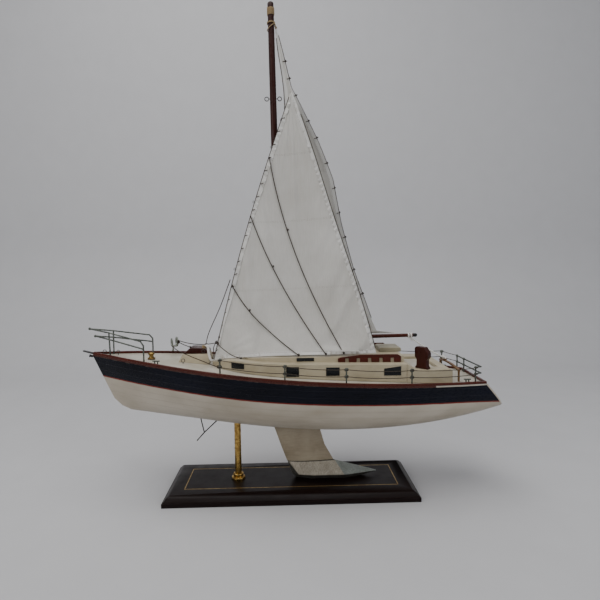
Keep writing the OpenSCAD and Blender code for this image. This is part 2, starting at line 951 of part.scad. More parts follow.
module coachroof() {
    low = [for (x = [roof_x1, -8, roof_x0]) [x, trunk_z(x) + glue]];
    color("#ece5d3")
        difference() {
            intersection() {
                linear_extrude(200)
                    polygon(roof_plan(0));
                slab_y(concat(roof_line, low), -beam, beam);
            }
            intersection() {
                linear_extrude(200)
                    polygon(roof_plan(cabin_t));
                slab_y(
                    concat([for (p = roof_line) p - [0, 1.6]], [[roof_x1, 120], [roof_x0, 120]]),
                    -beam, beam
                );
            }
        }
}

window_t = 0.6;

// Side windows: place of the fore and aft ends, low edge, and high edge at each end
windows = [
    [-63, -49, 145.9, 152, 151.6],
    [-4.7, 8.6, 138.9, 149.3, 149],
    [36.9, 50.9, 139.3, 148.2, 148],
    [97.6, 115.5, 138.6, 146, 148.3]
];

module side_windows() {
    color("#101214")
        for (w = windows)
            intersection() {
                linear_extrude(200)
                    difference() {
                        polygon(trunk_plan(-window_t));
                        polygon(trunk_plan(-glue));
                    }
                slab_y([[w[0], w[2]], [w[1], w[2]], [w[1], w[4]], [w[0], w[3]]], -beam, beam);
            }
}

module roof_windows() {
    color("#101214")
        for (side = [-1, 1])
            translate([0, side * (roof_w / 2 + glue + window_t / 2), 0])
                slab_y([[6.5, 153], [25, 153], [25, 156.6], [6.5, 156.6]], -window_t / 2, window_t / 2);
}

rail_slots = 5;
slot_w = 3.6;
slot_h = 4.2;
slot_pitch = 12.1;
slot_x = 59.9;

module grab_rail(side) {
    x0 = 50.3;
    x1 = 117.5;
    color("#56170f")
        translate([0, side * (roof_w / 2 + 0.95 + glue), 0])
            difference() {
                slab_y([
                    [x0, trunk_z(x0) + glue], [x0, 155.6], [x0 + 3, 156.6], [x0 + 24, 159.3],
                    [x1 - 3.5, 159.3], [x1, 157.2], [x1, trunk_z(x1) + glue]
                ], -0.9, 0.9);
                for (i = [0:rail_slots - 1])
                    translate([slot_x + slot_pitch * i - slot_w / 2, -2, 150])
                        cube([slot_w, 4, slot_h + 1.5]);
            }
}

module grab_rail_port() {
    grab_rail(-1);
}

module grab_rail_starboard() {
    grab_rail(1);
}

module companion_hatch() {
    z0 = roof_z + glue;
    color("#ece5d3")
        slab_y([[99, z0], [99.8, 161.4], [101.5, 162.2], [122.8, 162], [123.8, 161], [123.8, z0]], -13, 13);
}

coaming_x1 = 172;
well_half = 29;
well_x0 = 128;
well_x1 = 160;
aft_taper = 4;

module cockpit_coaming() {
    x0 = trunk_x1 + glue;
    half = trunk_w / 2;
    color("#e9e2ce")
        difference() {
            intersection() {
                linear_extrude(200)
                    polygon([
                        [x0, -half], [140, 0.6 - half], [coaming_x1, aft_taper - half],
                        [coaming_x1, half - aft_taper], [140, half - 0.6], [x0, half]
                    ]);
                on_deck(x0, coaming_x1, [
                    [x0, 150.4], [x0 + 5, 148.4], [x0 + 10, coaming_z],
                    [coaming_x1 - 3, coaming_z], [coaming_x1, coaming_z - 2.6]
                ]);
            }
            translate([well_x0, -well_half, 100])
                cube([well_x1 - well_x0, 2 * well_half, 80]);
        }
}

module cockpit_sole() {
    color("#e4dcc6")
        intersection() {
            translate([well_x0 + slip, slip - well_half, 100])
                cube([well_x1 - well_x0 - 2 * slip, 2 * (well_half - slip), coaming_z - 3.4 - 100]);
            deck_band(glue, 30);
        }
}

pedestal_p = [140.8, -37.6];
pedestal_h = 23.2;
pedestal_turn = -48;

module helm_pedestal() {
    front = [[0, 7.8], [1.2, 7.6], [3.4, 6.2], [9, 6], [12.4, 8.2], [20.6, 8.4], [22.6, 7]];
    back = [[0, 7.8], [1.2, 7.6], [3.4, 6.2], [9, 6], [12.4, 8.2], [16.8, 8.4], [22.6, 4]];
    color("#4d1610")
        translate([pedestal_p[0], pedestal_p[1], coaming_z + glue])
            rotate([90, 0, pedestal_turn])
                linear_extrude(6.4, center = true)
                    polygon(concat(
                        [for (p = back) [p[1], p[0] * pedestal_h / 22.6]],
                        [for (i = [len(front) - 1:-1:0]) [-front[i][1], front[i][0] * pedestal_h / 22.6]]
                    ));
}

traveller_x = 182;
traveller_y = [-33, 29];
traveller_z = 138.4;
traveller_rise = 2.4;
slider_y = 12;

// Height of the arched bar of the traveller
function traveller_arch(y) =
    traveller_z + traveller_rise * (1 - pow((2 * y - traveller_y[0] - traveller_y[1])
        / (traveller_y[1] - traveller_y[0]), 2));

module traveller() {
    steps = [0:12];
    ys = [for (i = steps) mix(traveller_y[0], traveller_y[1], i / 12)];
    color("#a77a3c") {
        translate([traveller_x - 1.3, 0, 0])
            rotate([90, 0, 90])
                linear_extrude(2.6)
                    polygon(concat(
                        [for (y = ys) [y, traveller_arch(y)]],
                        [for (i = [12:-1:0]) [ys[i], traveller_arch(ys[i]) + 1.8]]
                    ));
        for (y = [traveller_y[0] + 1.2, traveller_y[1] - 1.2])
            translate([traveller_x, y, deck_z(traveller_x) + 0.15])
                cylinder(h = traveller_z + 0.6 - deck_z(traveller_x), d = 2.2, $fn = 32);
        translate([traveller_x - 1.8, slider_y - 2, traveller_arch(slider_y) + 0.3])
            cube([3.6, 4, 2.6]);
    }
}

// ---------------------------------------------------------------- mast and boom

mast_foot_z = roof_z;
mast_top_d = 6.8;
mast_straight = 60;
mast_shoulder = mast_l - 1.4;
boom_z = 14.2;
jaw_h = 5;
jaw_out = 6.2;
boom_end_d = 4.1;
boom_tip = boom_l - 5;
boom_socket = 14;

// Everything on the mast stands in the mast's own leaning frame
module on_mast() {
    translate([mast_x, 0, mast_foot_z])
        rotate([0, -mast_lean, 0])
            children();
}

// The boom's own frame: its length runs along +X
module on_boom() {
    on_mast()
        translate([0, 0, boom_z])
            rotate([0, 90, 0])
                children();
}

module mast_ring(z0, h, d_in, d_out) {
    on_mast()
        translate([0, 0, z0])
            difference() {
                cylinder(h = h, d = d_out, $fn = 48);
                translate([0, 0, -1])
                    cylinder(h = h + 2, d = d_in, $fn = 48);
            }
}

module mast_step() {
    color("#3d1510")
        on_mast()
            difference() {
                translate([0, 0, 0.12])
                    cylinder(h = 3.4, d = mast_d + 5, $fn = 48);
                translate([0, 0, 0.8])
                    cylinder(h = 5, d = mast_d + 2 * slip, $fn = 48);
            }
}

module mast() {
    color("#3a120d")
        on_mast()
            rotate_extrude($fn = 48)
                polygon([
                    [0, 0.9], [mast_d / 2, 0.9], [mast_d / 2, mast_straight],
                    [mast_top_d / 2, mast_shoulder], [mast_top_d / 2 - 0.8, mast_l], [0, mast_l]
                ]);
}

function mast_r(z) =
    mix(mast_d, mast_top_d, max(0, (z - mast_straight) / (mast_shoulder - mast_straight))) / 2;

eye_z = 278.8;
eye_r = 2.2;
eye_wire = 0.7;

module mast_eyes() {
    reach = mast_r(eye_z) + 1.2 + eye_r;
    color("#5c5a50")
        on_mast()
            for (side = [-1, 1]) {
                eye([side * reach, 0, eye_z], eye_r, eye_wire);
                translate([side * (mast_r(eye_z) + 0.05), 0, eye_z])
                    rotate([0, side * 90, 0])
                        cylinder(h = 1.3, d = 0.8, $fn = 24);
            }
}

module mast_whipping() {
    color("#b9a37c")
        mast_ring(mast_l - 14, 8.6, mast_top_d + 0.16, mast_top_d + 1.1);
}

module boom_collar() {
    color("#3d1510")
        mast_ring(boom_z - jaw_h / 2 - 2.85, 2.8, mast_d + 2 * glue, mast_d + 3);
}

module boom_jaw() {
    color("#4a1913")
        difference() {
            union() {
                on_mast()
                    translate([0, 0, boom_z - jaw_h / 2])
                        cylinder(h = jaw_h, r = jaw_out, $fn = 48);
                on_boom()
                    translate([0, 0, jaw_out - 0.5])
                        cylinder(h = boom_socket - jaw_out + 0.5, d = boom_d + 1.4, $fn = 48);
            }
            on_mast()
                translate([0, 0, boom_z - 10])
                    cylinder(h = 20, d = mast_d + 0.14, $fn = 48);
            on_boom()
                translate([0, 0, 6.6])
                    cylinder(h = 20, d = boom_d + 2 * slip, $fn = 48);
        }
}

module boom() {
    color("#4a1913")
        on_boom()
            rotate_extrude($fn = 48)
                polygon([
                    [0, 6.7], [boom_d / 2, 6.7], [boom_d / 2, boom_socket + 1],
                    [boom_end_d / 2, boom_tip - 12], [boom_end_d / 2, boom_tip], [0, boom_tip]
                ]);
}

module boom_cap() {
    color("#141414")
        on_boom()
            rotate_extrude($fn = 48)
                polygon([
                    [0, boom_tip + glue], [boom_end_d / 2, boom_tip + glue],
                    [boom_end_d / 2, boom_l - 1.2], [boom_end_d / 2 - 1, boom_l], [0, boom_l]
                ]);
}

module boom_whippings() {
    color("#e8e4d8")
        on_boom()
            for (z = [boom_tip - 5, boom_tip - 2])
                translate([0, 0, z])
                    rotate_extrude($fn = 48)
                        translate([boom_end_d / 2 + 0.38, 0])
                            circle(d = 0.7, $fn = 16);
}

// ---------------------------------------------------------------- sails

mast_slope = tan(mast_lean);
function mast_axis_x(z) = mast_x - (z - mast_foot_z) * mast_slope;

sail_cols = 8;

// Mainsail: heights of its rows, and the leech's distance from the mast's middle
main_rows = [176.4, 178.8, 192, 212, 231, 250, 275, 300, 325, 350, 372, 392, 411, 430, 449, 468, 487, 509];
main_leech = [
    [176.4, 137], [178.8, 110.5], [192, 104.4], [250, 84.5], [300, 71.5], [350, 63],
    [386, 50], [430, 29], [449, 19.5], [487, 11], [509, 5.4]
];
main_last = len(main_rows) - 1;
main_luff_gap = 1.3;
main_luff_bow = 7.5;

// Point of the mainsail: s from luff to leech, at a row's height
function mainsail_point(s, z) =
    let (
        t = (z - main_rows[0]) / (main_rows[main_last] - main_rows[0]),
        luff = mast_r(z - mast_foot_z) + main_luff_gap + main_luff_bow * pow(sin(180 * pow(t, 2.6)), 2),
        leech = max(lookup(z, main_leech), luff + 0.8),
        belly = 4.5 * sin(180 * s) * sin(180 * pow(t, 0.7))
    )
    [mast_axis_x(z) + mix(luff, leech, s), 0.4 + belly, z];

// Headsail: its three corners
tack = [-84, -14, 151];
clew = [91, -36, 160.8];
peak = [3.3, -8.6, 444.7];

// Point of the headsail: s from luff to leech, t from foot to peak
function headsail_point(s, t) =
    let (
        luff = mix(tack, peak, t) - [5 * sin(180 * t), 0, 0],
        leech = mix(clew, peak, t) + [3 * sin(180 * t), 0, 0],
        belly = 8 * sin(180 * pow(s, 0.6)) * pow(1 - t, 0.5),
        foot_up = 3.8 * sin(180 * pow(s, 0.5)) * pow(1 - t, 3)
    )
    mix(luff, leech, s) + [0, -belly, foot_up];

// Closes a grid of points into a thin solid whose two faces lie sail_t apart along Y
module cloth(points, rows, cols) {
    w = cols + 1;
    n = (rows + 1) * w;
    both = concat([for (p = points) p - [0, sail_t / 2, 0]], [for (p = points) p + [0, sail_t / 2, 0]]);
    rim = concat(
        [for (c = [0:cols - 1]) c],
        [for (r = [0:rows - 1]) r * w + cols],
        [for (c = [cols:-1:1]) rows * w + c],
        [for (r = [rows:-1:1]) r * w]
    );
    faces = [
        for (r = [0:rows - 1])
            for (c = [0:cols - 1])
                let (a = r * w + c)
                each [
                    [a, a + w + 1, a + 1], [a, a + w, a + w + 1],
                    [n + a, n + a + 1, n + a + w + 1], [n + a, n + a + w + 1, n + a + w]
                ]
    ];
    sides = [
        for (i = [0:len(rim) - 1])
            let (a = rim[i], b = rim[(i + 1) % len(rim)])
            each [[a, b, n + b], [a, n + b, n + a]]
    ];
    polyhedron(both, concat(faces, sides), convexity = 4);
}

module mainsail() {
    color("#f3f0e6")
        cloth(
            [for (z = main_rows) for (c = [0:sail_cols]) mainsail_point(c / sail_cols, z)],
            main_last, sail_cols
        );
}

head_rows = 14;

module headsail() {
    color("#f3f0e6")
        cloth(
            [
                for (r = [0:head_rows])
                    for (c = [0:sail_cols])
                        headsail_point(c / sail_cols, 0.985 * r / head_rows)
            ],
            head_rows, sail_cols
        );
}

// Thread along the leech from the second batten up, with a short tie at every other row
module leech_line() {
    path = [for (i = [2:main_last - 1]) mainsail_point(1, main_rows[i]) + [0.8, 0.2, 0]];
    color("#3a342c") {
        thread(path);
        for (i = [1:2:len(path) - 2])
            rod(path[i], path[i] + [3.2, -0.5, 1.4], thread_d);
    }
}

module head_cords() {
    ring_z = 357.5;
    ring_r = mast_r(ring_z) + 0.6;
    ring_x = mast_axis_x(515) + ring_r * 0.7;
    knot = [mast_axis_x(510) + 4.9, 0.4, 510.5];
    color("#b9a37c") {
        mast_ring(ring_z, 1.4, 2 * ring_r - 0.7, 2 * ring_r + 0.7);
        translate(knot)
            sphere(d = 1.2, $fn = 24);
        for (side = [-1, 1])
            rod([ring_x, side * ring_r * 0.7, mast_foot_z + ring_z + 0.7], knot, 0.7);
    }
}

hank_t = [0.8, 0.6, 0.35];

module luff_line() {
    off = [-0.8, 0, 0];
    color("#3a342c") {
        thread([for (i = [1:19]) headsail_point(0, i / 20) + off], turn = 0);
        for (t = hank_t)
            eye(headsail_point(0, t) + off - [1, 0, 0], 1, 0.6);
    }
}

// Cords that hang over the headsail: luff end, foot end and bow, each as [x, z]
brails = [
    [[-15, 371], [57, 160.5], 11],
    [[-34.5, 308], [38, 159.8], 7],
    [[-57, 233], [9, 159], 9]
];

function headsail_y(x, z) =
    let (
        low = (tack[2] + clew[2]) / 2,
        t = min(max((z - low) / (peak[2] - low), 0), 0.98),
        a = headsail_point(0, t),
        b = headsail_point(1, t)
    )
    headsail_point(min(max((x - a[0]) / (b[0] - a[0]), 0), 1), t)[1];

module brail_lines() {
    n = 9;
    color("#3a342c")
        for (b = brails)
            thread([
                for (i = [0:n])
                    let (
                        k = i / n,
                        x = mix(b[0][0], b[1][0], k) - 4 * b[2] * k * (1 - k),
                        z = mix(b[0][1], b[1][1], k)
                    )
                    [x, headsail_y(x, z) - 2, z]
            ]);
}

// Cords of the foredeck, from the ring block to the rail, to the hatch and up behind the luff
// Foredeck cords: by the rings, where they meet the luff, and round the hatch
module foredeck_line() {
    knot = [-81.8, -16.8, 171];
    upper = hanging([-133, 31, 166.6], knot, 3, 4);
    post = stanchion_foot(stanchion_x[0], -1);
    color("#3a342c") {
        thread([[-133.2, 31, 164.8], [hatch_x0 + 6.6, 3, hatch_z + 6.7]]);
        thread([[-141, 31.4, 160.4], [-123.4, -3, 158.8], post + [-2.4, 0.4, 9.4]]);
        thread(concat(upper, [[-72.7, -25.5, 166.6], [-62.3, -31, 160.3], [-53.4, -34.5, 157.6]]));
        thread([upper[3], [-75, -16, 211], [-63, -16, 240]]);
    }
}

module mainsheet() {
    color("#eceae2")
        thread([[137.4, 0.4, 170.9], [traveller_x, slider_y, traveller_arch(slider_y) + 3.4]]);
}

stand_base();
base_inlay();
stand_post();
post_flange();
base_screws();
hull_shell();
transom();
keel_spine();
bulkheads();
post_block();
deck_plate();
toe_rail_port();
toe_rail_starboard();
stern_rail();
bow_plank();
stem_fitting();
keel_fin();
keel_shoe();
underhull_bracket();
pulpit();
pushpit();
stanchions();
lifelines_port();
lifelines_starboard();
windlass();
ring_post();
foredeck_eyes();
mooring_cleats();
hatch_coaming();
hatch_lid();
hatch_ring();
cabin_trunk();
coachroof();
side_windows();
roof_windows();
grab_rail_port();
grab_rail_starboard();
companion_hatch();
cockpit_coaming();
cockpit_sole();
helm_pedestal();
traveller();
mast_step();
mast();
mast_eyes();
mast_whipping();
boom_collar();
boom_jaw();
boom();
boom_cap();
boom_whippings();
mainsail();
leech_line();
head_cords();
headsail();
luff_line();
brail_lines();
foredeck_line();
mainsheet();
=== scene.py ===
"""Looks of a model sailing yacht on a stand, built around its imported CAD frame. Lengths are in metres."""

import json
import math
import random

import bmesh
import bpy
from mathutils import Matrix, Vector, noise


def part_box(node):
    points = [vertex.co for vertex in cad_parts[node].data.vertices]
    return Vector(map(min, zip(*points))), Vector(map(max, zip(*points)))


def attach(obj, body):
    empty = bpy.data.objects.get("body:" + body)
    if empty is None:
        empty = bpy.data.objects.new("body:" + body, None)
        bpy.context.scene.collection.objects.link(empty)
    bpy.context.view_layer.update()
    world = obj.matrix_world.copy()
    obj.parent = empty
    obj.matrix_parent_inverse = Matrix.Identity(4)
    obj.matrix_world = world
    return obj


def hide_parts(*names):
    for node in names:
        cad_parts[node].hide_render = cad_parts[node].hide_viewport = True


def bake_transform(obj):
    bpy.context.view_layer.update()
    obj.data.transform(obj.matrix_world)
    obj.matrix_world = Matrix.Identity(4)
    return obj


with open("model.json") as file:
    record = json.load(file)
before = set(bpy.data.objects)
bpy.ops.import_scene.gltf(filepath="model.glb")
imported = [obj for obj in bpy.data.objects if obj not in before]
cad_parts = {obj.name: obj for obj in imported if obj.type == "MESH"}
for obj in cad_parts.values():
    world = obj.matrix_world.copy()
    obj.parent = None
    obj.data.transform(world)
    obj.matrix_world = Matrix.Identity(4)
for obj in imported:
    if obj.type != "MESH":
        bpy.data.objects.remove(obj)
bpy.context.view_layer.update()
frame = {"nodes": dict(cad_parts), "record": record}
MM = 0.001
rng = random.Random(7)


def mm(x, y, z):
    """A point given in millimetres."""
    return Vector((x, y, z)) * MM


def corners(node):
    """Lowest and highest corner of a CAD node at rest."""
    return [Vector(c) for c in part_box(node)]


# ------------------------------------------------------------------ materials

WORN_EDGE = 0.0008


class Graph:
    """Builds one procedural material. Textures use the piece's own coordinates, so they ride with it."""

    def __init__(self, name, **inputs):
        self.material = bpy.data.materials.new(name)
        self.material.use_nodes = True
        self.tree = self.material.node_tree
        self.bsdf = self.tree.nodes["Principled BSDF"]
        self.coord = self.add("ShaderNodeTexCoord").outputs["Object"]
        for key, value in inputs.items():
            self.bsdf.inputs[key.replace("_", " ")].default_value = value

    def add(self, kind, **inputs):
        node = self.tree.nodes.new(kind)
        for key, value in inputs.items():
            self.put(value, node.inputs[key.replace("_", " ")])
        return node

    def put(self, value, socket):
        if isinstance(value, bpy.types.NodeSocket):
            self.tree.links.new(value, socket)
        elif isinstance(value, (tuple, list)) and len(value) == 3 and socket.type == "RGBA":
            socket.default_value = (*value, 1)
        else:
            socket.default_value = value

    def math(self, operation, a, b=0.0, clamp=False):
        node = self.tree.nodes.new("ShaderNodeMath")
        node.operation = operation
        node.use_clamp = clamp
        self.put(a, node.inputs[0])
        self.put(b, node.inputs[1])
        return node.outputs[0]

    def stretched(self, scale):
        node = self.add("ShaderNodeMapping", Vector=self.coord)
        node.inputs["Scale"].default_value = scale
        return node.outputs["Vector"]

    def noise(self, size, detail=4.0, stretch=(1, 1, 1), roughness=0.55):
        """Noise whose features are about size across, longer where stretch is above 1."""
        scale = [1 / (size * s) for s in stretch]
        node = self.add("ShaderNodeTexNoise", Vector=self.stretched(scale), Scale=1.0, Detail=detail)
        node.inputs["Roughness"].default_value = roughness
        return node.outputs["Fac"]

    def waves(self, size, axis, distortion):
        """Bands, about three to each size: the wave texture repeats every tau / 20 of its scale."""
        node = self.add("ShaderNodeTexWave", Vector=self.coord, Scale=1 / size)
        node.bands_direction = axis
        node.inputs["Distortion"].default_value = distortion
        return node.outputs["Fac"]

    def ramp(self, fac, *stops):
        """Colour ramp through (place, colour) stops."""
        node = self.add("ShaderNodeValToRGB", Fac=fac)
        elements = node.color_ramp.elements
        while len(elements) < len(stops):
            elements.new(0.5)
        for element, (place, colour) in zip(elements, stops):
            element.position = place
            element.color = (*colour, 1)
        return node.outputs["Color"]

    def value_ramp(self, fac, low, high, start=0.0, end=1.0):
        """Value that goes from low to high while fac goes from start to end."""
        return self.add("ShaderNodeMapRange", Value=fac, From_Min=start, From_Max=end,
                        To_Min=low, To_Max=high).outputs["Result"]

    def weighted(self, a, b, share):
        """Sum of two values, the first taken by its share and the second by the rest."""
        return self.math("ADD", self.math("MULTIPLY", a, share), self.math("MULTIPLY", b, 1 - share))

    def mix(self, fac, a, b):
        node = self.tree.nodes.new("ShaderNodeMix")
        node.data_type = "RGBA"
        colours = [s for s in node.inputs if s.type == "RGBA"]
        self.put(fac, node.inputs["Factor"])
        self.put(a, colours[0])
        self.put(b, colours[1])
        return [s for s in node.outputs if s.type == "RGBA"][0]

    def bump(self, height, distance, strength=1.0, below=None):
        node = self.add("ShaderNodeBump", Height=height, Strength=strength, Distance=distance)
        if below is not None:
            self.put(below, node.inputs["Normal"])
        return node.outputs["Normal"]

    def axes(self):
        return self.add("ShaderNodeSeparateXYZ", Vector=self.coord).outputs

    def facing_up(self):
        """1 where the surface faces up, 0 where it is upright and -1 where it faces down."""
        normal = self.add("ShaderNodeNewGeometry").outputs["Normal"]
        return self.add("ShaderNodeSeparateXYZ", Vector=normal).outputs["Z"]

    def wear(self, colour, worn, amount):
        """Changes a colour to a worn one along the edges, broken up by noise."""
        bevel = self.tree.nodes.new("ShaderNodeBevel")
        bevel.samples = 4
        bevel.inputs["Radius"].default_value = WORN_EDGE
        geometry = self.add("ShaderNodeNewGeometry")
        dot = self.tree.nodes.new("ShaderNodeVectorMath")
        dot.operation = "DOT_PRODUCT"
        self.put(bevel.outputs["Normal"], dot.inputs[0])
        self.put(geometry.outputs["Normal"], dot.inputs[1])
        edge = self.value_ramp(dot.outputs["Value"], 1.0, 0.0, 0.75, 0.99)
        gaps = self.value_ramp(self.noise(0.006), 0.0, 1.0, 0.42, 0.6)
        patchy = self.math("MULTIPLY", edge, gaps, clamp=True)
        return self.mix(self.math("MULTIPLY", patchy, amount), colour, worn)

    def done(self, colour, roughness, normal):
        self.put(colour, self.bsdf.inputs["Base Color"])
        self.put(roughness, self.bsdf.inputs["Roughness"])
        self.put(normal, self.bsdf.inputs["Normal"])
        return self.material


def varnished_wood(name, dark, light, along, gloss=0.24, coat=0.12):
    """Varnished timber with its grain along an axis given as stretch factors."""
    grain = 0.0011
    g = Graph(name, Coat_Weight=coat, Coat_Roughness=0.12, Specular_IOR_Level=0.15)
    streaks = g.noise(grain, 6.0, along, 0.65)
    broad = g.noise(grain * 9, 3.0, along)
    halfway = tuple((d + l) / 2 for d, l in zip(dark, light))
    colour = g.ramp(g.weighted(streaks, broad, 0.6), (0.3, dark), (0.52, halfway), (0.72, light))
    colour = g.wear(colour, tuple(min(1, c * 2.2 + 0.02) for c in light), 0.5)
    dust = g.value_ramp(g.noise(0.012), gloss, gloss + 0.16, 0.35, 0.75)
    normal = g.bump(streaks, 0.00012, 0.35, g.bump(g.noise(0.02, 2.0), 0.0004, 0.12))
    return g.done(colour, dust, normal)


def painted_wood(name, colour, stain, roughness=0.38, chips=(0.42, 0.3, 0.2), edge=None):
    """Brushed paint over wood: broad staining, fine brush marks and small chips at edges.
    With edge, upright faces between two places along X are stained that colour."""
    g = Graph(name, Coat_Weight=0.06, Coat_Roughness=0.3, Specular_IOR_Level=0.3)
    blotches = g.noise(0.028, 5.0)
    fine = g.noise(0.0016, 3.0, (8, 1, 1))
    base = g.ramp(g.weighted(blotches, fine, 0.75), (0.34, stain), (0.58, colour))
    specks = g.value_ramp(g.noise(0.0011, 1.0), 0.0, 0.35, 0.73, 0.78)
    base = g.mix(specks, base, stain)
    base = g.wear(base, chips, 0.55)
    if edge:
        stained, start, end = edge
        x = g.axes()["X"]
        upright = g.math("LESS_THAN", g.math("ABSOLUTE", g.facing_up()), 0.6)
        inside = g.math("MULTIPLY", g.math("GREATER_THAN", x, start), g.math("LESS_THAN", x, end))
        side = g.mix(fine, stained, tuple(c * 0.4 for c in stained))
        base = g.mix(g.math("MULTIPLY", upright, inside), base, side)
    rough = g.value_ramp(g.noise(0.009), roughness - 0.08, roughness + 0.12, 0.3, 0.7)
    normal = g.bump(fine, 0.00015, 0.3, g.bump(blotches, 0.0005, 0.15))
    return g.done(base, rough, normal)


def worn_metal(name, colour, tarnish, roughness, metallic=1.0, size=0.004):
    """Metal with patches of tarnish, about size across, and fine scratches."""
    g = Graph(name, Metallic=metallic)
    patches = g.noise(size, 5.0)
    base = g.ramp(patches, (0.38, tarnish), (0.6, colour))
    base = g.wear(base, tuple(min(1, c * 1.5 + 0.08) for c in colour), 0.6)
    scratches = g.noise(0.0007, 3.0, (6, 1, 2))
    rough = g.value_ramp(patches, roughness + 0.2, roughness, 0.36, 0.62)
    normal = g.bump(scratches, 0.00008, 0.35)
    return g.done(base, rough, normal)


def brushed_shoe(name):
    """Brushed metal of the keel shoe: tan sides, a near-black underside that is painted shade, a grey-green
    tail facet that is painted reflection, dark seam on top.
    """
    top = corners("keel_shoe")[1].z
    tail_start = corners("keel_fin")[1].x + 0.001
    g = Graph(name, Metallic=0.35, Specular_IOR_Level=0.4)
    axes = g.axes()
    brush = g.noise(0.0008, 4.0, (1, 1, 14))
    patches = g.noise(0.008, 4.0)
    tone = g.weighted(brush, patches, 0.6)
    side = g.ramp(tone, (0.32, (0.22, 0.19, 0.145)), (0.62, (0.47, 0.425, 0.34)))
    # Painted reflection: the tail facet gets a greyer, darker copy of the same brushed metal.
    tail = g.ramp(tone, (0.32, (0.15, 0.165, 0.15)), (0.62, (0.30, 0.325, 0.30)))
    # Painted shade: a near-black copy of the same brushed metal for faces that point down.
    shaded_underside = g.ramp(tone, (0.35, (0.05, 0.047, 0.04)), (0.65, (0.11, 0.105, 0.09)))
    slant = g.math("MULTIPLY", g.math("SUBTRACT", top, axes["Z"]), 0.75)
    behind = g.math("SUBTRACT", g.math("SUBTRACT", axes["X"], tail_start), slant)
    is_tail = g.math("GREATER_THAN", behind, 0.0)
    colour = g.mix(is_tail, side, tail)
    # Painted shade: faces that point down take the near-black copy.
    colour = g.mix(g.value_ramp(g.facing_up(), 1.0, 0.0, -0.12, 0.02), colour, shaded_underside)
    seam = g.math("GREATER_THAN", axes["Z"], top - 0.0009)
    colour = g.mix(g.math("MULTIPLY", seam, g.math("SUBTRACT", 1.0, is_tail)), colour, (0.03, 0.025, 0.018))
    colour = g.wear(colour, (0.72, 0.70, 0.64), 0.7)
    return g.done(colour, g.value_ramp(patches, 0.3, 0.5), g.bump(brush, 0.00015, 0.5))


def sailcloth(name, colour, shade):
    """Thin woven cloth that lets some light through."""
    g = Graph(name, Sheen_Weight=0.25, Sheen_Roughness=0.5, Specular_IOR_Level=0.25)
    warp = g.waves(0.00055, "X", 0.4)
    weft = g.waves(0.00055, "Z", 0.4)
    weave = g.math("MAXIMUM", warp, weft)
    slubs = g.noise(0.0008, 2.0, (1, 1, 22))
    stains = g.noise(0.05, 5.0)
    base = g.ramp(g.weighted(stains, slubs, 0.7), (0.36, shade), (0.62, colour))
    base = g.mix(g.math("MULTIPLY", weave, 0.07), base, shade)
    creases = g.noise(0.022, 3.0, (1, 1, 2.4), 0.6)
    normal = g.bump(weave, 0.00006, 0.5, g.bump(creases, 0.0011, 0.35))
    g.done(base, g.value_ramp(stains, 0.72, 0.9), normal)
    glow = g.add("ShaderNodeBsdfTranslucent", Color=base, Normal=normal)
    blend = g.add("ShaderNodeMixShader", Fac=0.28)
    output = g.tree.nodes["Material Output"]
    g.tree.links.new(g.bsdf.outputs[0], blend.inputs[1])
    g.tree.links.new(glow.outputs[0], blend.inputs[2])
    g.tree.links.new(blend.outputs[0], output.inputs["Surface"])
    return g.material


def spun_thread(name, colour, shade):
    """Twisted thread with loose fibres."""
    g = Graph(name, Sheen_Weight=0.05, Specular_IOR_Level=0.2)
    twist = g.waves(0.0006, "DIAGONAL", 1.0)
    fibres = g.noise(0.0005, 3.0, (3, 1, 3))
    base = g.ramp(g.math("MULTIPLY", g.math("ADD", twist, fibres), 0.5), (0.25, shade), (0.7, colour))
    return g.done(base, g.value_ramp(fibres, 0.75, 0.95), g.bump(twist, 0.0001, 0.6))


# The hull's paint line as (x, z) points from bow to stern, and the width of the red line and the planks
PAINT_LINE = [(-0.221, 0.1333), (-0.134, 0.1257), (-0.063, 0.1189), (0.008, 0.1142),
              (0.106, 0.1105), (0.157, 0.1086), (0.193, 0.1065), (0.236, 0.1024)]
RED_LINE = 0.0013
PLANK = 0.0078


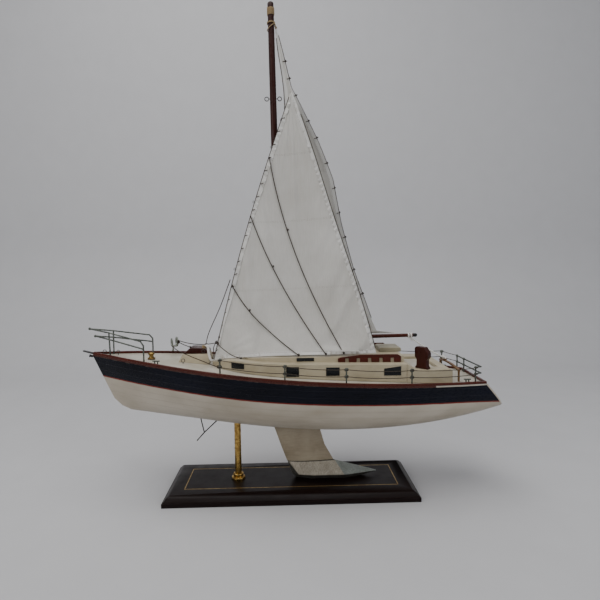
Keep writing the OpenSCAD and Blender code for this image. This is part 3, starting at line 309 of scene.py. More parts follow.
def hull_paint(name):
    """Navy topsides, a red line and a white bottom, over planks that follow the paint line."""
    low, high = corners("hull_shell")
    g = Graph(name, Coat_Weight=0.03, Coat_Roughness=0.2, Specular_IOR_Level=0.12)
    axes = g.axes()
    span = high.x - low.x
    rise = high.z - low.z
    along = g.math("DIVIDE", g.math("SUBTRACT", axes["X"], low.x), span)
    curve = g.add("ShaderNodeFloatCurve", Value=along)
    points = curve.mapping.curves[0].points
    for _ in range(len(PAINT_LINE) - 2):
        points.new(0.5, 0.5)
    for point, (x, z) in zip(points, PAINT_LINE):
        point.location = ((x - low.x) / span, (z - low.z) / rise)
    curve.mapping.update()
    line = g.math("ADD", g.math("MULTIPLY", curve.outputs[0], rise), low.z)
    above = g.math("SUBTRACT", axes["Z"], line)
    waver = g.math("MULTIPLY", g.math("SUBTRACT", g.noise(0.01, 2.0), 0.5), 0.0005)
    above = g.math("ADD", above, waver)

    blotches = g.noise(0.035, 5.0, (2, 1, 1))
    fine = g.noise(0.0014, 3.0, (14, 1, 1))
    white = g.ramp(blotches, (0.32, (0.40, 0.35, 0.275)), (0.6, (0.52, 0.47, 0.39)))
    navy = g.ramp(blotches, (0.35, (0.0022, 0.0026, 0.006)), (0.65, (0.005, 0.006, 0.013)))
    red = (0.20, 0.028, 0.02)
    seam = g.math("ABSOLUTE", g.math("SUBTRACT", g.math("FRACT", g.math("DIVIDE", above, PLANK)), 0.5))
    seam = g.value_ramp(seam, 0.0, 1.0, 0.462, 0.492)
    white = g.mix(g.math("MULTIPLY", seam, 0.3), white, (0.3, 0.25, 0.18))
    navy = g.mix(g.math("MULTIPLY", seam, 0.5), navy, (0.018, 0.02, 0.03))
    is_red = g.math("GREATER_THAN", above, 0.0)
    is_navy = g.math("GREATER_THAN", above, RED_LINE)
    colour = g.mix(is_navy, g.mix(is_red, white, red), navy)
    colour = g.wear(colour, (0.5, 0.42, 0.32), 0.4)
    rough = g.value_ramp(is_navy, g.value_ramp(fine, 0.34, 0.52), g.value_ramp(fine, 0.2, 0.36))
    groove = g.math("MULTIPLY", seam, -1.0)
    normal = g.bump(groove, 0.00022, 0.8, g.bump(fine, 0.00012, 0.25, g.bump(blotches, 0.0007, 0.2)))
    return g.done(colour, rough, normal)


ALONG_X = (30, 1, 1)
ALONG_Z = (1, 1, 30)
stand_varnish = varnished_wood("stand_varnish", (0.003, 0.0014, 0.0013), (0.012, 0.004, 0.003), ALONG_X,
                               0.3, 0.02)
rail_varnish = varnished_wood("rail_varnish", (0.03, 0.0045, 0.0025), (0.115, 0.02, 0.01), ALONG_X)
mast_varnish = varnished_wood("mast_varnish", (0.008, 0.002, 0.0018), (0.05, 0.01, 0.006), ALONG_Z)
block_varnish = varnished_wood("block_varnish", (0.014, 0.003, 0.002), (0.06, 0.012, 0.007), ALONG_Z)
boom_varnish = varnished_wood("boom_varnish", (0.026, 0.005, 0.003), (0.10, 0.02, 0.01), ALONG_X)
gold_wood = varnished_wood("gold_wood", (0.09, 0.045, 0.02), (0.21, 0.115, 0.05), (1, 30, 1), 0.3)
bare_wood = varnished_wood("bare_wood", (0.40, 0.27, 0.14), (0.62, 0.46, 0.28), ALONG_X, 0.5)
hull_coat = hull_paint("hull_coat")
white_coat = painted_wood("white_coat", (0.56, 0.51, 0.43), (0.43, 0.38, 0.3))
# Painted shade: a darker copy of the white paint for the keel fin, which lies in the hull's shade.
fin_white_shaded = painted_wood("fin_white_shaded", (0.35, 0.295, 0.21), (0.23, 0.185, 0.12))
cream_coat = painted_wood("cream_coat", (0.47, 0.41, 0.29), (0.36, 0.305, 0.205))
# Painted shade: a darker copy of the cream paint for the companion hatch, which lies in shade.
slide_cream_shaded = painted_wood("slide_cream_shaded", (0.32, 0.29, 0.205), (0.24, 0.21, 0.145))
deck_coat = painted_wood("deck_coat", (0.55, 0.52, 0.45), (0.43, 0.395, 0.32), 0.42,
                         edge=((0.085, 0.015, 0.008), -0.240, 0.150))
black_coat = painted_wood("black_coat", (0.007, 0.007, 0.008), (0.012, 0.011, 0.01), 0.35,
                          (0.1, 0.08, 0.07))
glass_black = painted_wood("glass_black", (0.004, 0.005, 0.006), (0.008, 0.009, 0.01), 0.2,
                           (0.04, 0.04, 0.04))
brass = worn_metal("brass", (0.56, 0.37, 0.11), (0.28, 0.16, 0.045), 0.24)
dull_brass = worn_metal("dull_brass", (0.34, 0.225, 0.07), (0.14, 0.085, 0.03), 0.3)
gold_line = worn_metal("gold_line", (0.48, 0.34, 0.13), (0.32, 0.2, 0.075), 0.38, 0.85)
aged_metal = worn_metal("aged_metal", (0.15, 0.165, 0.14), (0.045, 0.05, 0.042), 0.45, 0.7, size=0.002)
ring_metal = worn_metal("ring_metal", (0.36, 0.38, 0.33), (0.15, 0.165, 0.14), 0.4, 0.6, size=0.002)
dark_metal = worn_metal("dark_metal", (0.09, 0.085, 0.075), (0.03, 0.028, 0.025), 0.4, 0.8, size=0.003)
steel = worn_metal("steel", (0.62, 0.60, 0.55), (0.42, 0.40, 0.36), 0.3)
shoe_metal = brushed_shoe("shoe_metal")
sail_cloth = sailcloth("sail_cloth", (0.79, 0.775, 0.74), (0.67, 0.65, 0.605))
tape_cloth = sailcloth("tape_cloth", (0.95, 0.945, 0.93), (0.86, 0.855, 0.84))
hem_cloth = sailcloth("hem_cloth", (0.90, 0.89, 0.865), (0.80, 0.785, 0.755))
dark_thread = spun_thread("dark_thread", (0.055, 0.036, 0.024), (0.018, 0.011, 0.008))
line_thread = spun_thread("line_thread", (0.075, 0.06, 0.045), (0.028, 0.022, 0.016))
# Darker tan thread: real stitching, and in the rows inside the hems also painted shade along the hems' inner
# edges.
stitch_and_shade_thread = spun_thread("stitch_and_shade_thread", (0.33, 0.29, 0.235), (0.2, 0.175, 0.14))
white_thread = spun_thread("white_thread", (0.93, 0.92, 0.89), (0.76, 0.74, 0.69))
hemp_thread = spun_thread("hemp_thread", (0.42, 0.31, 0.17), (0.22, 0.15, 0.075))

# Which materials stand for each of the record's material slots
SLOT_MATERIALS = {
    "varnished_dark": (stand_varnish,),
    "mahogany": (rail_varnish, mast_varnish, block_varnish, boom_varnish),
    "golden_wood": (gold_wood,),
    "inside_wood": (bare_wood,),
    "hull_paint": (hull_coat,),
    "white_paint": (white_coat, fin_white_shaded),
    "cream_paint": (cream_coat, slide_cream_shaded, deck_coat),
    "black_paint": (black_coat,),
    "window_black": (glass_black,),
    "brass": (brass, dull_brass),
    "gold_line": (gold_line,),
    "aged_metal": (aged_metal, ring_metal),
    "steel": (dark_metal, steel),
    "shoe_metal": (shoe_metal,),
    "sailcloth": (sail_cloth, tape_cloth, hem_cloth),
    "dark_thread": (dark_thread, line_thread),
    "pale_thread": (stitch_and_shade_thread, white_thread),
    "hemp_cord": (hemp_thread,),
}
SLOTS = {material: slot for slot, group in SLOT_MATERIALS.items() for material in group}


# ------------------------------------------------------------------ mesh helpers


def finish_mesh(name, mesh, material, body=None):
    mesh.materials.append(material)
    piece = bpy.data.objects.new(name, mesh)
    bpy.context.scene.collection.objects.link(piece)
    if body:
        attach(piece, body)
    return piece


def mesh_from(name, verts, faces, smooth=True):
    mesh = bpy.data.meshes.new(name)
    mesh.from_pydata([tuple(v) for v in verts], [], faces)
    mesh.polygons.foreach_set("use_smooth", [smooth] * len(mesh.polygons))
    mesh.update()
    return mesh


def made(name, verts, faces, material, body=None, smooth=True):
    """A new piece from points and faces."""
    return finish_mesh(name, mesh_from(name, verts, faces, smooth), material, body)


def welded(node):
    """A welded copy of a CAD node's mesh as a bmesh."""
    bm = bmesh.new()
    bm.from_mesh(frame["nodes"][node].data)
    bmesh.ops.remove_doubles(bm, verts=bm.verts, dist=2e-6)
    return bm


def refined(node, material, bevel=0.0, angle=32, body="hull"):
    """Stands for a CAD node: the same shape, welded, with softened edges and smooth round faces."""
    bm = welded(node)
    bmesh.ops.dissolve_limit(bm, angle_limit=math.radians(0.4), verts=bm.verts, edges=bm.edges)
    for edge in bm.edges:
        sharp = len(edge.link_faces) == 2 and edge.calc_face_angle(0) > math.radians(angle)
        edge.smooth = not sharp
    for face in bm.faces:
        face.smooth = True
    mesh = bpy.data.meshes.new(node + "_looks")
    bm.to_mesh(mesh)
    bm.free()
    piece = finish_mesh(node + "_looks", mesh, material, body)
    if bevel:
        modifier = piece.modifiers.new("soft_edges", "BEVEL")
        modifier.width = bevel
        modifier.segments = 2
        modifier.limit_method = "ANGLE"
        modifier.angle_limit = math.radians(angle)
        modifier.harden_normals = True
    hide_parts(node)
    return piece


def islands(node):
    """Each separate solid of a CAD node as its list of points."""
    bm = welded(node)
    left = set(bm.verts)
    groups = []
    while left:
        todo = [left.pop()]
        group = []
        while todo:
            vert = todo.pop()
            group.append(vert.co.copy())
            for edge in vert.link_edges:
                other = edge.other_vert(vert)
                if other in left:
                    left.remove(other)
                    todo.append(other)
        groups.append(group)
    bm.free()
    return groups


CORD_STEP = 0.0006
LAY_PITCH = 0.0022
STRANDS = 3


def box_of(points):
    """Lowest and highest corner of a list of points."""
    return [Vector(end(p[k] for p in points) for k in range(3)) for end in (min, max)]


def smooth_path(points, step):
    """Catmull-Rom curve through the points, with a ring about every step."""
    points = [Vector(p) for p in points]
    if len(points) == 2:
        count = max(2, round((points[1] - points[0]).length / step))
        return [points[0].lerp(points[1], i / count) for i in range(count + 1)]
    ends = [2 * points[0] - points[1]] + points + [2 * points[-1] - points[-2]]
    path = [points[0]]
    for a, b, c, d in zip(ends, ends[1:], ends[2:], ends[3:]):
        count = max(2, round((c - b).length / step))
        for i in range(1, count + 1):
            t = i / count
            path.append(0.5 * ((2 * b) + (c - a) * t + (2 * a - 5 * b + 4 * c - d) * t * t
                               + (3 * b - a - 3 * c + d) * t ** 3))
    return path


def skin(faces, start, steps, sides):
    """Joins rings of points, one more than steps, into a closed tube."""
    for i in range(steps):
        for k in range(sides):
            a = start + i * sides + k
            b = start + i * sides + (k + 1) % sides
            faces.append((a, b, b + sides, a + sides))
    faces.append(tuple(start + k for k in reversed(range(sides))))
    faces.append(tuple(start + steps * sides + k for k in range(sides)))


def tube(verts, faces, path, radius, lobes=0, turns=0.0, sides=8):
    """Adds a closed tube along a path. With lobes it is laid like cord: the strands turn along it."""
    start = len(verts)
    last = len(path) - 1
    tangents = [(path[min(i + 1, last)] - path[max(i - 1, 0)]).normalized() for i in range(last + 1)]
    side = tangents[0].orthogonal().normalized()
    length = 0.0
    for i, (point, tangent) in enumerate(zip(path, tangents)):
        side = (side - tangent * side.dot(tangent)).normalized()
        up = tangent.cross(side)
        if i:
            length += (point - path[i - 1]).length
        for k in range(sides):
            a = math.tau * k / sides
            strand = abs(math.cos(lobes / 2 * (a - math.tau * length * turns)))
            swell = 1 + 0.16 * (strand - 0.6) if lobes else 1
            verts.append(point + (side * math.cos(a) + up * math.sin(a)) * radius * swell)
    skin(faces, start, last, sides)


def cords(name, paths, diameter, material, body=None, knots=()):
    """Laid cords along the paths, as one piece. Each knot is a point, an axis and a radius."""
    verts = []
    faces = []
    for path in paths:
        tube(verts, faces, smooth_path(path, CORD_STEP), diameter / 2, STRANDS, 1 / LAY_PITCH, 9)
    for at, axis, size in knots:
        wind(verts, faces, Vector(at), Vector(axis), size, diameter * 1.05, 2.5, diameter * 0.42)
    return made(name, verts, faces, material, body)


def wind(verts, faces, start, axis, radius, lead, turns, thick):
    """Winds a cord of a given half thickness round an axis, moving on by lead with each turn."""
    axis = axis.normalized()
    side = axis.orthogonal().normalized()
    up = axis.cross(side)
    count = max(12, int(turns * 20))
    path = []
    for i in range(count + 1):
        a = math.tau * turns * i / count
        spoke = side * math.cos(a) + up * math.sin(a)
        path.append(start + axis * lead * turns * i / count + spoke * radius)
    tube(verts, faces, path, thick, sides=6)


# ------------------------------------------------------------------ hull, stand and deck

refined("stand_base", stand_varnish, bevel=0.0007)
refined("base_inlay", gold_line)
refined("stand_post", brass, bevel=0.0003)
refined("post_flange", brass, bevel=0.0003, angle=24)
refined("base_screws", steel, bevel=0.0003)
refined("hull_shell", hull_coat, angle=38)
refined("transom", white_coat, bevel=0.0003)
refined("deck_plate", deck_coat, angle=38)
for node in ("keel_spine", "bulkheads", "post_block"):
    refined(node, bare_wood, bevel=0.0002)
for node in ("toe_rail_port", "toe_rail_starboard", "stern_rail"):
    refined(node, rail_varnish, bevel=0.0006, angle=38)
refined("bow_plank", black_coat, bevel=0.0004)
refined("stem_fitting", black_coat, bevel=0.0003)
refined("keel_fin", fin_white_shaded, bevel=0.0004, angle=24)
refined("keel_shoe", shoe_metal, bevel=0.0002, angle=6)
refined("underhull_bracket", dark_metal)
for node in ("pulpit", "pushpit", "stanchions"):
    refined(node, aged_metal, angle=40)
for node in ("foredeck_eyes", "hatch_ring"):
    refined(node, dark_metal, angle=40)
refined("ring_post", ring_metal, angle=40)
refined("mooring_cleats", aged_metal, bevel=0.0003)
refined("windlass", dull_brass, bevel=0.0003, angle=24)
refined("hatch_coaming", cream_coat, bevel=0.0005)
refined("hatch_lid", block_varnish, bevel=0.001)
refined("cabin_trunk", cream_coat, bevel=0.0012)
refined("coachroof", cream_coat, bevel=0.0014)
refined("side_windows", glass_black, bevel=0.0002)
refined("roof_windows", glass_black, bevel=0.0002)
for node in ("grab_rail_port", "grab_rail_starboard"):
    refined(node, rail_varnish, bevel=0.0005)
refined("companion_hatch", slide_cream_shaded, bevel=0.0009)
refined("cockpit_coaming", cream_coat, bevel=0.0009)
refined("cockpit_sole", deck_coat, bevel=0.0003)
refined("helm_pedestal", block_varnish, bevel=0.0009)
refined("traveller", gold_wood, bevel=0.0004)
for node in ("mast_step", "boom_collar"):
    refined(node, mast_varnish, bevel=0.0003)
refined("mast", mast_varnish, bevel=0.0003)
refined("mast_eyes", dark_metal, angle=40)
refined("boom_jaw", boom_varnish, bevel=0.0003, body="boom")
refined("boom", boom_varnish, body="boom")
refined("boom_cap", black_coat, bevel=0.0003, body="boom")


# ------------------------------------------------------------------ mast and boom cords

swing = next(j for j in frame["record"]["behaviour"]["joints"] if j["name"] == "boom_swing")
mast_foot = Vector(swing["pos_m"])
mast_dir = Vector(swing["axis"]).normalized()


def mast_point(z):
    """Point of the mast's middle line at a height."""
    return mast_foot + mast_dir * ((z - mast_foot.z) / mast_dir.z)


def mast_whipping():
    """Cord wound round the masthead."""
    low, high = corners("mast_whipping")
    thick = 0.00045
    lead = 2.05 * thick
    turns = (high.z - low.z - 2 * thick) / lead
    verts = []
    faces = []
    radius = (high.y - low.y) / 2 - 0.0003
    wind(verts, faces, mast_point(low.z + thick), mast_dir, radius, lead, turns, thick)
    piece = made("masthead_whipping", verts, faces, hemp_thread, "hull")
    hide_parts("mast_whipping")


def mast_eye_wire():
    """Dark wire wound round each of the mast's eyes."""
    verts = []
    faces = []
    for points in islands("mast_eyes"):
        low, high = box_of(points)
        middle = (low + high) / 2
        radius = (high.z - low.z) / 2
        outer = low.x + radius if middle.x < mast_point(middle.z).x else high.x - radius
        start = Vector((outer, middle.y - 0.0004, middle.z))
        wind(verts, faces, start, Vector((0, 1, 0)), radius - 0.0004, 0.0004, 2.1, 0.00042)
    made("mast_eye_wire", verts, faces, dark_metal, "hull")


def boom_whippings():
    """Thread wound round the boom at each of its whippings."""
    verts = []
    faces = []
    along = (Vector((1, 0, 0)) - mast_dir * mast_dir.x).normalized()
    for points in islands("boom_whippings"):
        middle = sum(points, Vector()) / len(points)
        low, high = box_of(points)
        radius = (high.y - low.y) / 2 - 0.00025
        wind(verts, faces, middle - along * 0.0009, along, radius, 0.00056, 3.2, 0.0003)
    piece = made("boom_thread_whippings", verts, faces, white_thread, "boom")
    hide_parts("boom_whippings")


def head_cords():
    """Cord round the mast below its head, with two ends that meet in a knot at the mainsail's peak."""
    low, high = corners("head_cords")
    verts = []
    faces = []
    thick = 0.00042
    ring = mast_point(high.z - 0.0016)
    wind(verts, faces, ring, mast_dir, 0.0041, 2.05 * thick, 1.9, thick)
    slanted = []
    for i in range(33):
        a = math.tau * i / 32
        spoke = Vector((math.cos(a), math.sin(a), 0)) * 0.0043
        slanted.append(mast_point(ring.z - 0.0035 + 0.0035 * math.cos(a)) + spoke)
    tube(verts, faces, slanted, thick, STRANDS, 450, 9)
    knot = Vector((high.x - 0.0004, 0.0004, low.z + 0.0006))
    for side in (-1, 1):
        root = ring + Vector((0.0030, side * 0.0029, 0))
        bulge = root.lerp(knot, 0.5) + Vector((0.0006, side * 0.0012, 0.0004))
        tube(verts, faces, smooth_path([root, bulge, knot], CORD_STEP), thick, STRANDS, 450, 9)
    wind(verts, faces, knot - Vector((0, 0, 0.0004)), Vector((0.2, 0, 1)), 0.0007, 0.0008, 2.4, 0.0004)
    piece = made("sail_head_cords", verts, faces, hemp_thread, "boom")
    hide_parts("head_cords")


mast_whipping()
mast_eye_wire()
boom_whippings()
head_cords()


# ------------------------------------------------------------------ sails

CLOTH = 0.00034
HEM = 0.0042
SETTLE_FRAMES = 26


def level(values, share):
    """Value at a share of the way through evenly spaced values."""
    at = min(max(share, 0), 1) * (len(values) - 1)
    i = min(int(at), len(values) - 2)
    return values[i] + (values[i + 1] - values[i]) * (at - i)


def sheet_grid(point, cols, rows):
    return [[point(c / cols, r / rows) for c in range(cols + 1)] for r in range(rows + 1)]


def grid_mesh(name, grid):
    rows = len(grid) - 1
    cols = len(grid[0]) - 1
    verts = [p for row in grid for p in row]
    faces = []
    for r in range(rows):
        for c in range(cols):
            a = r * (cols + 1) + c
            faces.append((a, a + 1, a + cols + 2, a + cols + 1))
    return mesh_from(name, verts, faces)


def settle(piece, rows, cols, pinned, slack):
    """Lets the cloth hang a little between its pinned edges, then keeps the result."""
    group = piece.vertex_groups.new(name="pinned")
    for r in range(rows + 1):
        for c in range(cols + 1):
            weight = pinned(c / cols, r / rows)
            if weight > 0:
                group.add([r * (cols + 1) + c], weight, "REPLACE")
    cloth = piece.modifiers.new("cloth", "CLOTH")
    settings = cloth.settings
    settings.quality = 8
    settings.mass = 0.12
    settings.tension_stiffness = 18
    settings.compression_stiffness = 18
    settings.shear_stiffness = 6
    settings.bending_stiffness = 0.35
    settings.vertex_group_mass = "pinned"
    settings.shrink_min = -slack
    settings.shrink_max = -slack
    settings.effector_weights.gravity = 0.12
    cloth.collision_settings.use_collision = False
    cloth.point_cache.frame_start = 1
    cloth.point_cache.frame_end = SETTLE_FRAMES
    scene = bpy.context.scene
    for number in range(1, SETTLE_FRAMES + 1):
        scene.frame_set(number)
    depsgraph = bpy.context.evaluated_depsgraph_get()
    settled = bpy.data.meshes.new_from_object(piece.evaluated_get(depsgraph))
    piece.modifiers.remove(cloth)
    coords = [v.co.copy() for v in settled.vertices]
    for vert, co in zip(piece.data.vertices, coords):
        vert.co = co
    bpy.data.meshes.remove(settled)
    scene.frame_set(1)
    return [[coords[r * (cols + 1) + c] for c in range(cols + 1)] for r in range(rows + 1)]


def normal_at(grid, r, c):
    last_r = len(grid) - 1
    last_c = len(grid[0]) - 1
    across = grid[r][min(c + 1, last_c)] - grid[r][max(c - 1, 0)]
    up = grid[min(r + 1, last_r)][c] - grid[max(r - 1, 0)][c]
    normal = across.cross(up)
    return normal.normalized() if normal.length > 1e-12 else Vector((0, -1, 0))


def hem_strip(verts, faces, grid, edge, width, lift):
    """A folded hem along one edge of the grid, standing proud of both faces of the cloth."""
    last_r = len(grid) - 1
    last_c = len(grid[0]) - 1
    if edge == "foot":
        cells = [(0, c) for c in range(last_c + 1)]
        inward = [grid[1][c] - grid[0][c] for c in range(last_c + 1)]
    else:
        column = 0 if edge == "luff" else last_c
        step = 1 if edge == "luff" else -1
        cells = [(r, column) for r in range(last_r + 1)]
        inward = [grid[r][column + step] - grid[r][column] for r in range(last_r + 1)]
    start = len(verts)
    for (r, c), inner in zip(cells, inward):
        point = grid[r][c]
        normal = normal_at(grid, r, c)
        room = (grid[r][last_c] - grid[r][0]).length * 0.45
        inner = inner.normalized() * min(width, max(room, 0.0004))
        outer = -inner.normalized() * 0.0003
        ripple = 1 + 0.25 * noise.noise(point * 350)
        lifted = normal * lift * ripple
        verts.extend([point + outer - lifted * 0.6, point + inner - lifted, point + inner + lifted,
                      point + outer + lifted * 0.6])
    skin(faces, start, len(cells) - 1, 4)


def stitch_row(verts, faces, grid, line, lift, length=0.0011, gap=0.0008, thick=0.00011):
    """Small thread stitches on both faces along a row of (row, column) places in the grid."""
    path = smooth_path([grid_point(grid, r, c) for r, c in line], 0.0004)
    normals = [grid_normal(grid, r, c) for r, c in line]
    travelled = 0.0
    stitch = []
    for i in range(1, len(path)):
        travelled += (path[i] - path[i - 1]).length
        phase = travelled % (length + gap)
        if phase < length:
            stitch.append(path[i])
        elif len(stitch) > 1:
            normal = normals[min(int(i / len(path) * len(normals)), len(normals) - 1)]
            for lifted in (normal * lift, normal * -lift):
                tube(verts, faces, [stitch[0] + lifted, stitch[-1] + lifted], thick, sides=4)
            stitch = []
        else:
            stitch = []


def grid_point(grid, r, c):
    r0 = min(int(r), len(grid) - 2)
    c0 = min(int(c), len(grid[0]) - 2)
    fr = r - r0
    fc = c - c0
    low = grid[r0][c0].lerp(grid[r0][c0 + 1], fc)
    high = grid[r0 + 1][c0].lerp(grid[r0 + 1][c0 + 1], fc)
    return low.lerp(high, fr)


def grid_normal(grid, r, c):
    return normal_at(grid, min(int(round(r)), len(grid) - 1), min(int(round(c)), len(grid[0]) - 1))


def inset_lines(grid, width):
    """Places in the grid that run a set distance inside the luff, the leech and the foot."""
    last_r = len(grid) - 1
    last_c = len(grid[0]) - 1
    luff = []
    leech = []
    for r in range(2, last_r - 3):
        span = (grid[r][last_c] - grid[r][0]).length
        share = width / max(span, 1e-6)
        if share < 0.35:
            luff.append((r, share * last_c))
            leech.append((r, (1 - share) * last_c))
    foot = []
    for c in range(1, last_c):
        rise = (grid[2][c] - grid[0][c]).length / 2
        foot.append((width / rise, c))
    return luff, leech, foot


def finish_sail(name, piece, grid, node, body, seams):
    """Adds thickness, hems, seams and stitching to a sail, and puts it in the CAD sail's place."""
    solid = piece.modifiers.new("thickness", "SOLIDIFY")
    solid.thickness = CLOTH
    solid.offset = 0
    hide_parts(node)
    verts = []
    faces = []
    for edge in ("luff", "leech", "foot"):
        hem_strip(verts, faces, grid, edge, HEM, 0.00036)
    hems = made(name + "_hems", verts, faces, hem_cloth, body, smooth=False)
    hems.modifiers.new("soft", "BEVEL").width = 0.00012
    verts = []
    faces = []
    # Rows of stitches inside the hems: real stitching, made dark and nearly unbroken so that they also paint
    # the shade line along each hem's inner edge.
    for line in inset_lines(grid, HEM * 0.78):
        stitch_row(verts, faces, grid, line, 0.0004, 0.0013, 0.0004, 0.00016)
    for share in seams:
        line = [(share * (len(grid) - 1), c * 0.5) for c in range(2 * len(grid[0]) - 2)]
        for offset in (-0.22, 0.22):
            stitch_row(verts, faces, grid, [(r + offset, c) for r, c in line], 0.00022)
    made(name + "_stitches", verts, faces, stitch_and_shade_thread, body)


def corner(node, key):
    """The point of a CAD node that comes first by a key."""
    return min((v.co for v in frame["nodes"][node].data.vertices), key=key).copy()


def middle_of_thickness(point, others):
    """The middle of the cloth at one of its corners: the CAD sail is a thin solid."""
    near = [v.co for v in others if (v.co.xz - point.xz).length < 1e-6]
    return sum(near, Vector()) / len(near)


def ridge(distance, width):
    """Height of a smooth ridge in the cloth at a distance from its crest."""
    return math.exp(-(distance / width) ** 2)


def headsail():
    """Large sail on the port side: belly towards port, creases that run from its corners."""
    verts = frame["nodes"]["headsail"].data.vertices
    tack = middle_of_thickness(corner("headsail", lambda p: p.x), verts)
    clew = middle_of_thickness(corner("headsail", lambda p: -p.x), verts)
    peak = middle_of_thickness(corner("headsail", lambda p: -p.z), verts)
    cols, rows = 64, 104

    def point(s, t):
        luff = tack.lerp(peak, t) + mm(-5 * math.sin(math.pi * t), 0, 0)
        leech = clew.lerp(peak, t) + mm(3 * math.sin(math.pi * t) + 0.8 * math.sin(9 * t), 0, 0)
        at = luff.lerp(leech, s)
        belly = 8 * math.sin(math.pi * s ** 0.6) * (1 - t) ** 0.5
        foot = 3.8 * math.sin(math.pi * math.sqrt(s)) * (1 - t) ** 3
        edge = min(1, 6 * s, 6 * (1 - s))
        fold = 1.1 * ridge(s - 0.47 - 0.12 * t, 0.045) * math.sin(math.pi * min(1, 1.15 * t + 0.1))
        fold += 0.8 * ridge(s - 0.70 + 0.2 * t, 0.05) * math.sin(math.pi * t) ** 2
        fold += 0.7 * ridge(s - 0.22 + 0.1 * t, 0.04) * ridge(t - 0.3, 0.2)
        from_tack = math.atan2(at.z - tack.z, at.x - tack.x)
        from_clew = math.atan2(at.z - clew.z, clew.x - at.x)
        fan = 0.5 * math.sin(26 * from_tack) * math.exp(-(at - tack).length / 0.05)
        fan += 0.55 * math.sin(30 * from_clew) * math.exp(-(at - clew).length / 0.06)
        ripple = 0.9 * noise.noise(Vector((at.x * 26, 3.1, at.z * 12)))
        return at + mm(0, -belly - edge * (fold + fan + ripple), foot)

    grid = sheet_grid(point, cols, rows)
    piece = finish_mesh("headsail_cloth", grid_mesh("headsail_cloth", grid), sail_cloth, "headsail")

    def pinned(s, t):
        if s == 0 or (t == 0 and (s < 0.04 or s > 0.96)) or t > 0.97:
            return 1.0
        return 0.35 if s == 1 or t == 0 else 0.0

    grid = settle(piece, rows, cols, pinned, 0.006)
    finish_sail("headsail", piece, grid, "headsail", "headsail", (0.26, 0.52, 0.77))
    return grid


def mainsail():
    """Sail behind the mast: its outline is taken from the CAD sail's own rows."""
    points = [v.co.copy() for v in frame["nodes"]["mainsail"].data.vertices]
    heights = sorted({round(p.z, 5) for p in points})
    rows_cad = []
    for z in heights:
        row = [p for p in points if abs(p.z - z) < 2e-5]
        rows_cad.append((min(p.x for p in row), max(p.x for p in row), z))
    cols, rows = 40, 110

    def point(s, t):
        z = heights[0] + (heights[-1] - heights[0]) * t
        i = max(k for k, h in enumerate(heights[:-1]) if h <= z + 1e-9)
        share = (i + (z - heights[i]) / (heights[i + 1] - heights[i])) / (len(heights) - 1)
        luff = level([r[0] for r in rows_cad], share)
        leech = level([r[1] for r in rows_cad], share)
        belly = 4.2 * math.sin(math.pi * s) * math.sin(math.pi * t ** 0.7)
        crease = 0.8 * noise.noise(Vector((s * 3, 7.7, z * 16))) * min(1, 8 * s, 8 * (1 - s))
        wave = 0.9 * math.sin(21 * t + 3 * s) * s * (1 - t)
        return Vector((luff + (leech - luff) * s, (0.4 + belly + crease + wave) * MM, z))

    grid = sheet_grid(point, cols, rows)
    piece = finish_mesh("mainsail_cloth", grid_mesh("mainsail_cloth", grid), sail_cloth, "boom")
    finish_sail("mainsail", piece, grid, "mainsail", "boom", (0.3, 0.55, 0.78))
    return grid


head_grid = headsail()
main_grid = mainsail()


# ------------------------------------------------------------------ threads of the sails


def column_path(grid, column, start, end, offset):
    """Every third point up one column of a sail, between two shares of its height."""
    last = len(grid) - 1
    rows = range(int(start * last), int(end * last) + 1, 3)
    return [grid[r][column] + offset for r in rows]


def leech_line():
    """Dark thread up the mainsail's leech, tied on with short ends, and up the top of its luff."""
    offset = mm(0.7, 0.1, 0)
    path = column_path(main_grid, -1, 0.06, 0.985, offset)
    ties = []
    knots = []
    for share in (0.10, 0.2, 0.3, 0.39, 0.48, 0.56, 0.65, 0.73, 0.8, 0.87, 0.93):
        at = path[int(share * (len(path) - 1))]
        out = mm(1.6 + rng.uniform(-0.4, 0.6), -0.6, 0.8 + rng.uniform(-0.8, 0.6))
        ties.append([at - mm(3.0, 0.75, 0.6), at - mm(1.4, 0.7, 0.1), at - mm(0, 0.4, 0), at + out])
        knots.append((at - mm(0, 0.2, 0.4), (0.3, 0, 1), 0.00055))
    luff = column_path(main_grid, 0, 0.7, 0.985, mm(-0.2, -0.5, 0))
    piece = cords("leech_thread", [path, luff] + ties, 0.0008, dark_thread, "boom", knots=knots)
    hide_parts("leech_line")


def luff_line():
    """Dark thread up the headsail's luff, laced through the hem, with hanks, and up its leech."""
    path = column_path(head_grid, 0, 0.0, 0.985, mm(-0.7, 0, 0))
    lacing = []
    for r in range(4, len(head_grid) - 6, 5):
        edge = head_grid[r][0]
        inner = edge + (head_grid[r][3] - edge).normalized() * 0.0021
        lacing.append([edge + mm(-1.0, -0.5, -0.3), inner + mm(0, -0.55, 0.4), inner + mm(0, -0.3, 0.7)])
    verts = []
    faces = []
    for share in (0.8, 0.6, 0.35):
        at = head_grid[int(share * (len(head_grid) - 1))][0] + mm(-1.5, 0, 0)
        wind(verts, faces, at - mm(0, 0.35, 0), Vector((0, 1, 0)), 0.00115, 0.0005, 1.6, 0.00028)
    made("luff_hanks", verts, faces, aged_metal, "headsail")
    knots = [(path[3], (0.3, 0, 1), 0.0006), (path[int(len(path) * 0.9)], (0.3, 0, 1), 0.0006)]
    leech = column_path(head_grid, -1, 0.02, 0.93, mm(0.7, -0.5, 0))
    piece = cords("luff_thread", [path, leech] + lacing, 0.0008, dark_thread, "headsail", knots=knots)
    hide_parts("luff_line")


def on_headsail(x, z):
    """Point on the near face of the headsail at a place and a height."""
    best = min((p for row in head_grid for p in row), key=lambda p: (p.x - x) ** 2 + (p.z - z) ** 2)
    return Vector((x, best.y - 0.0013, z))


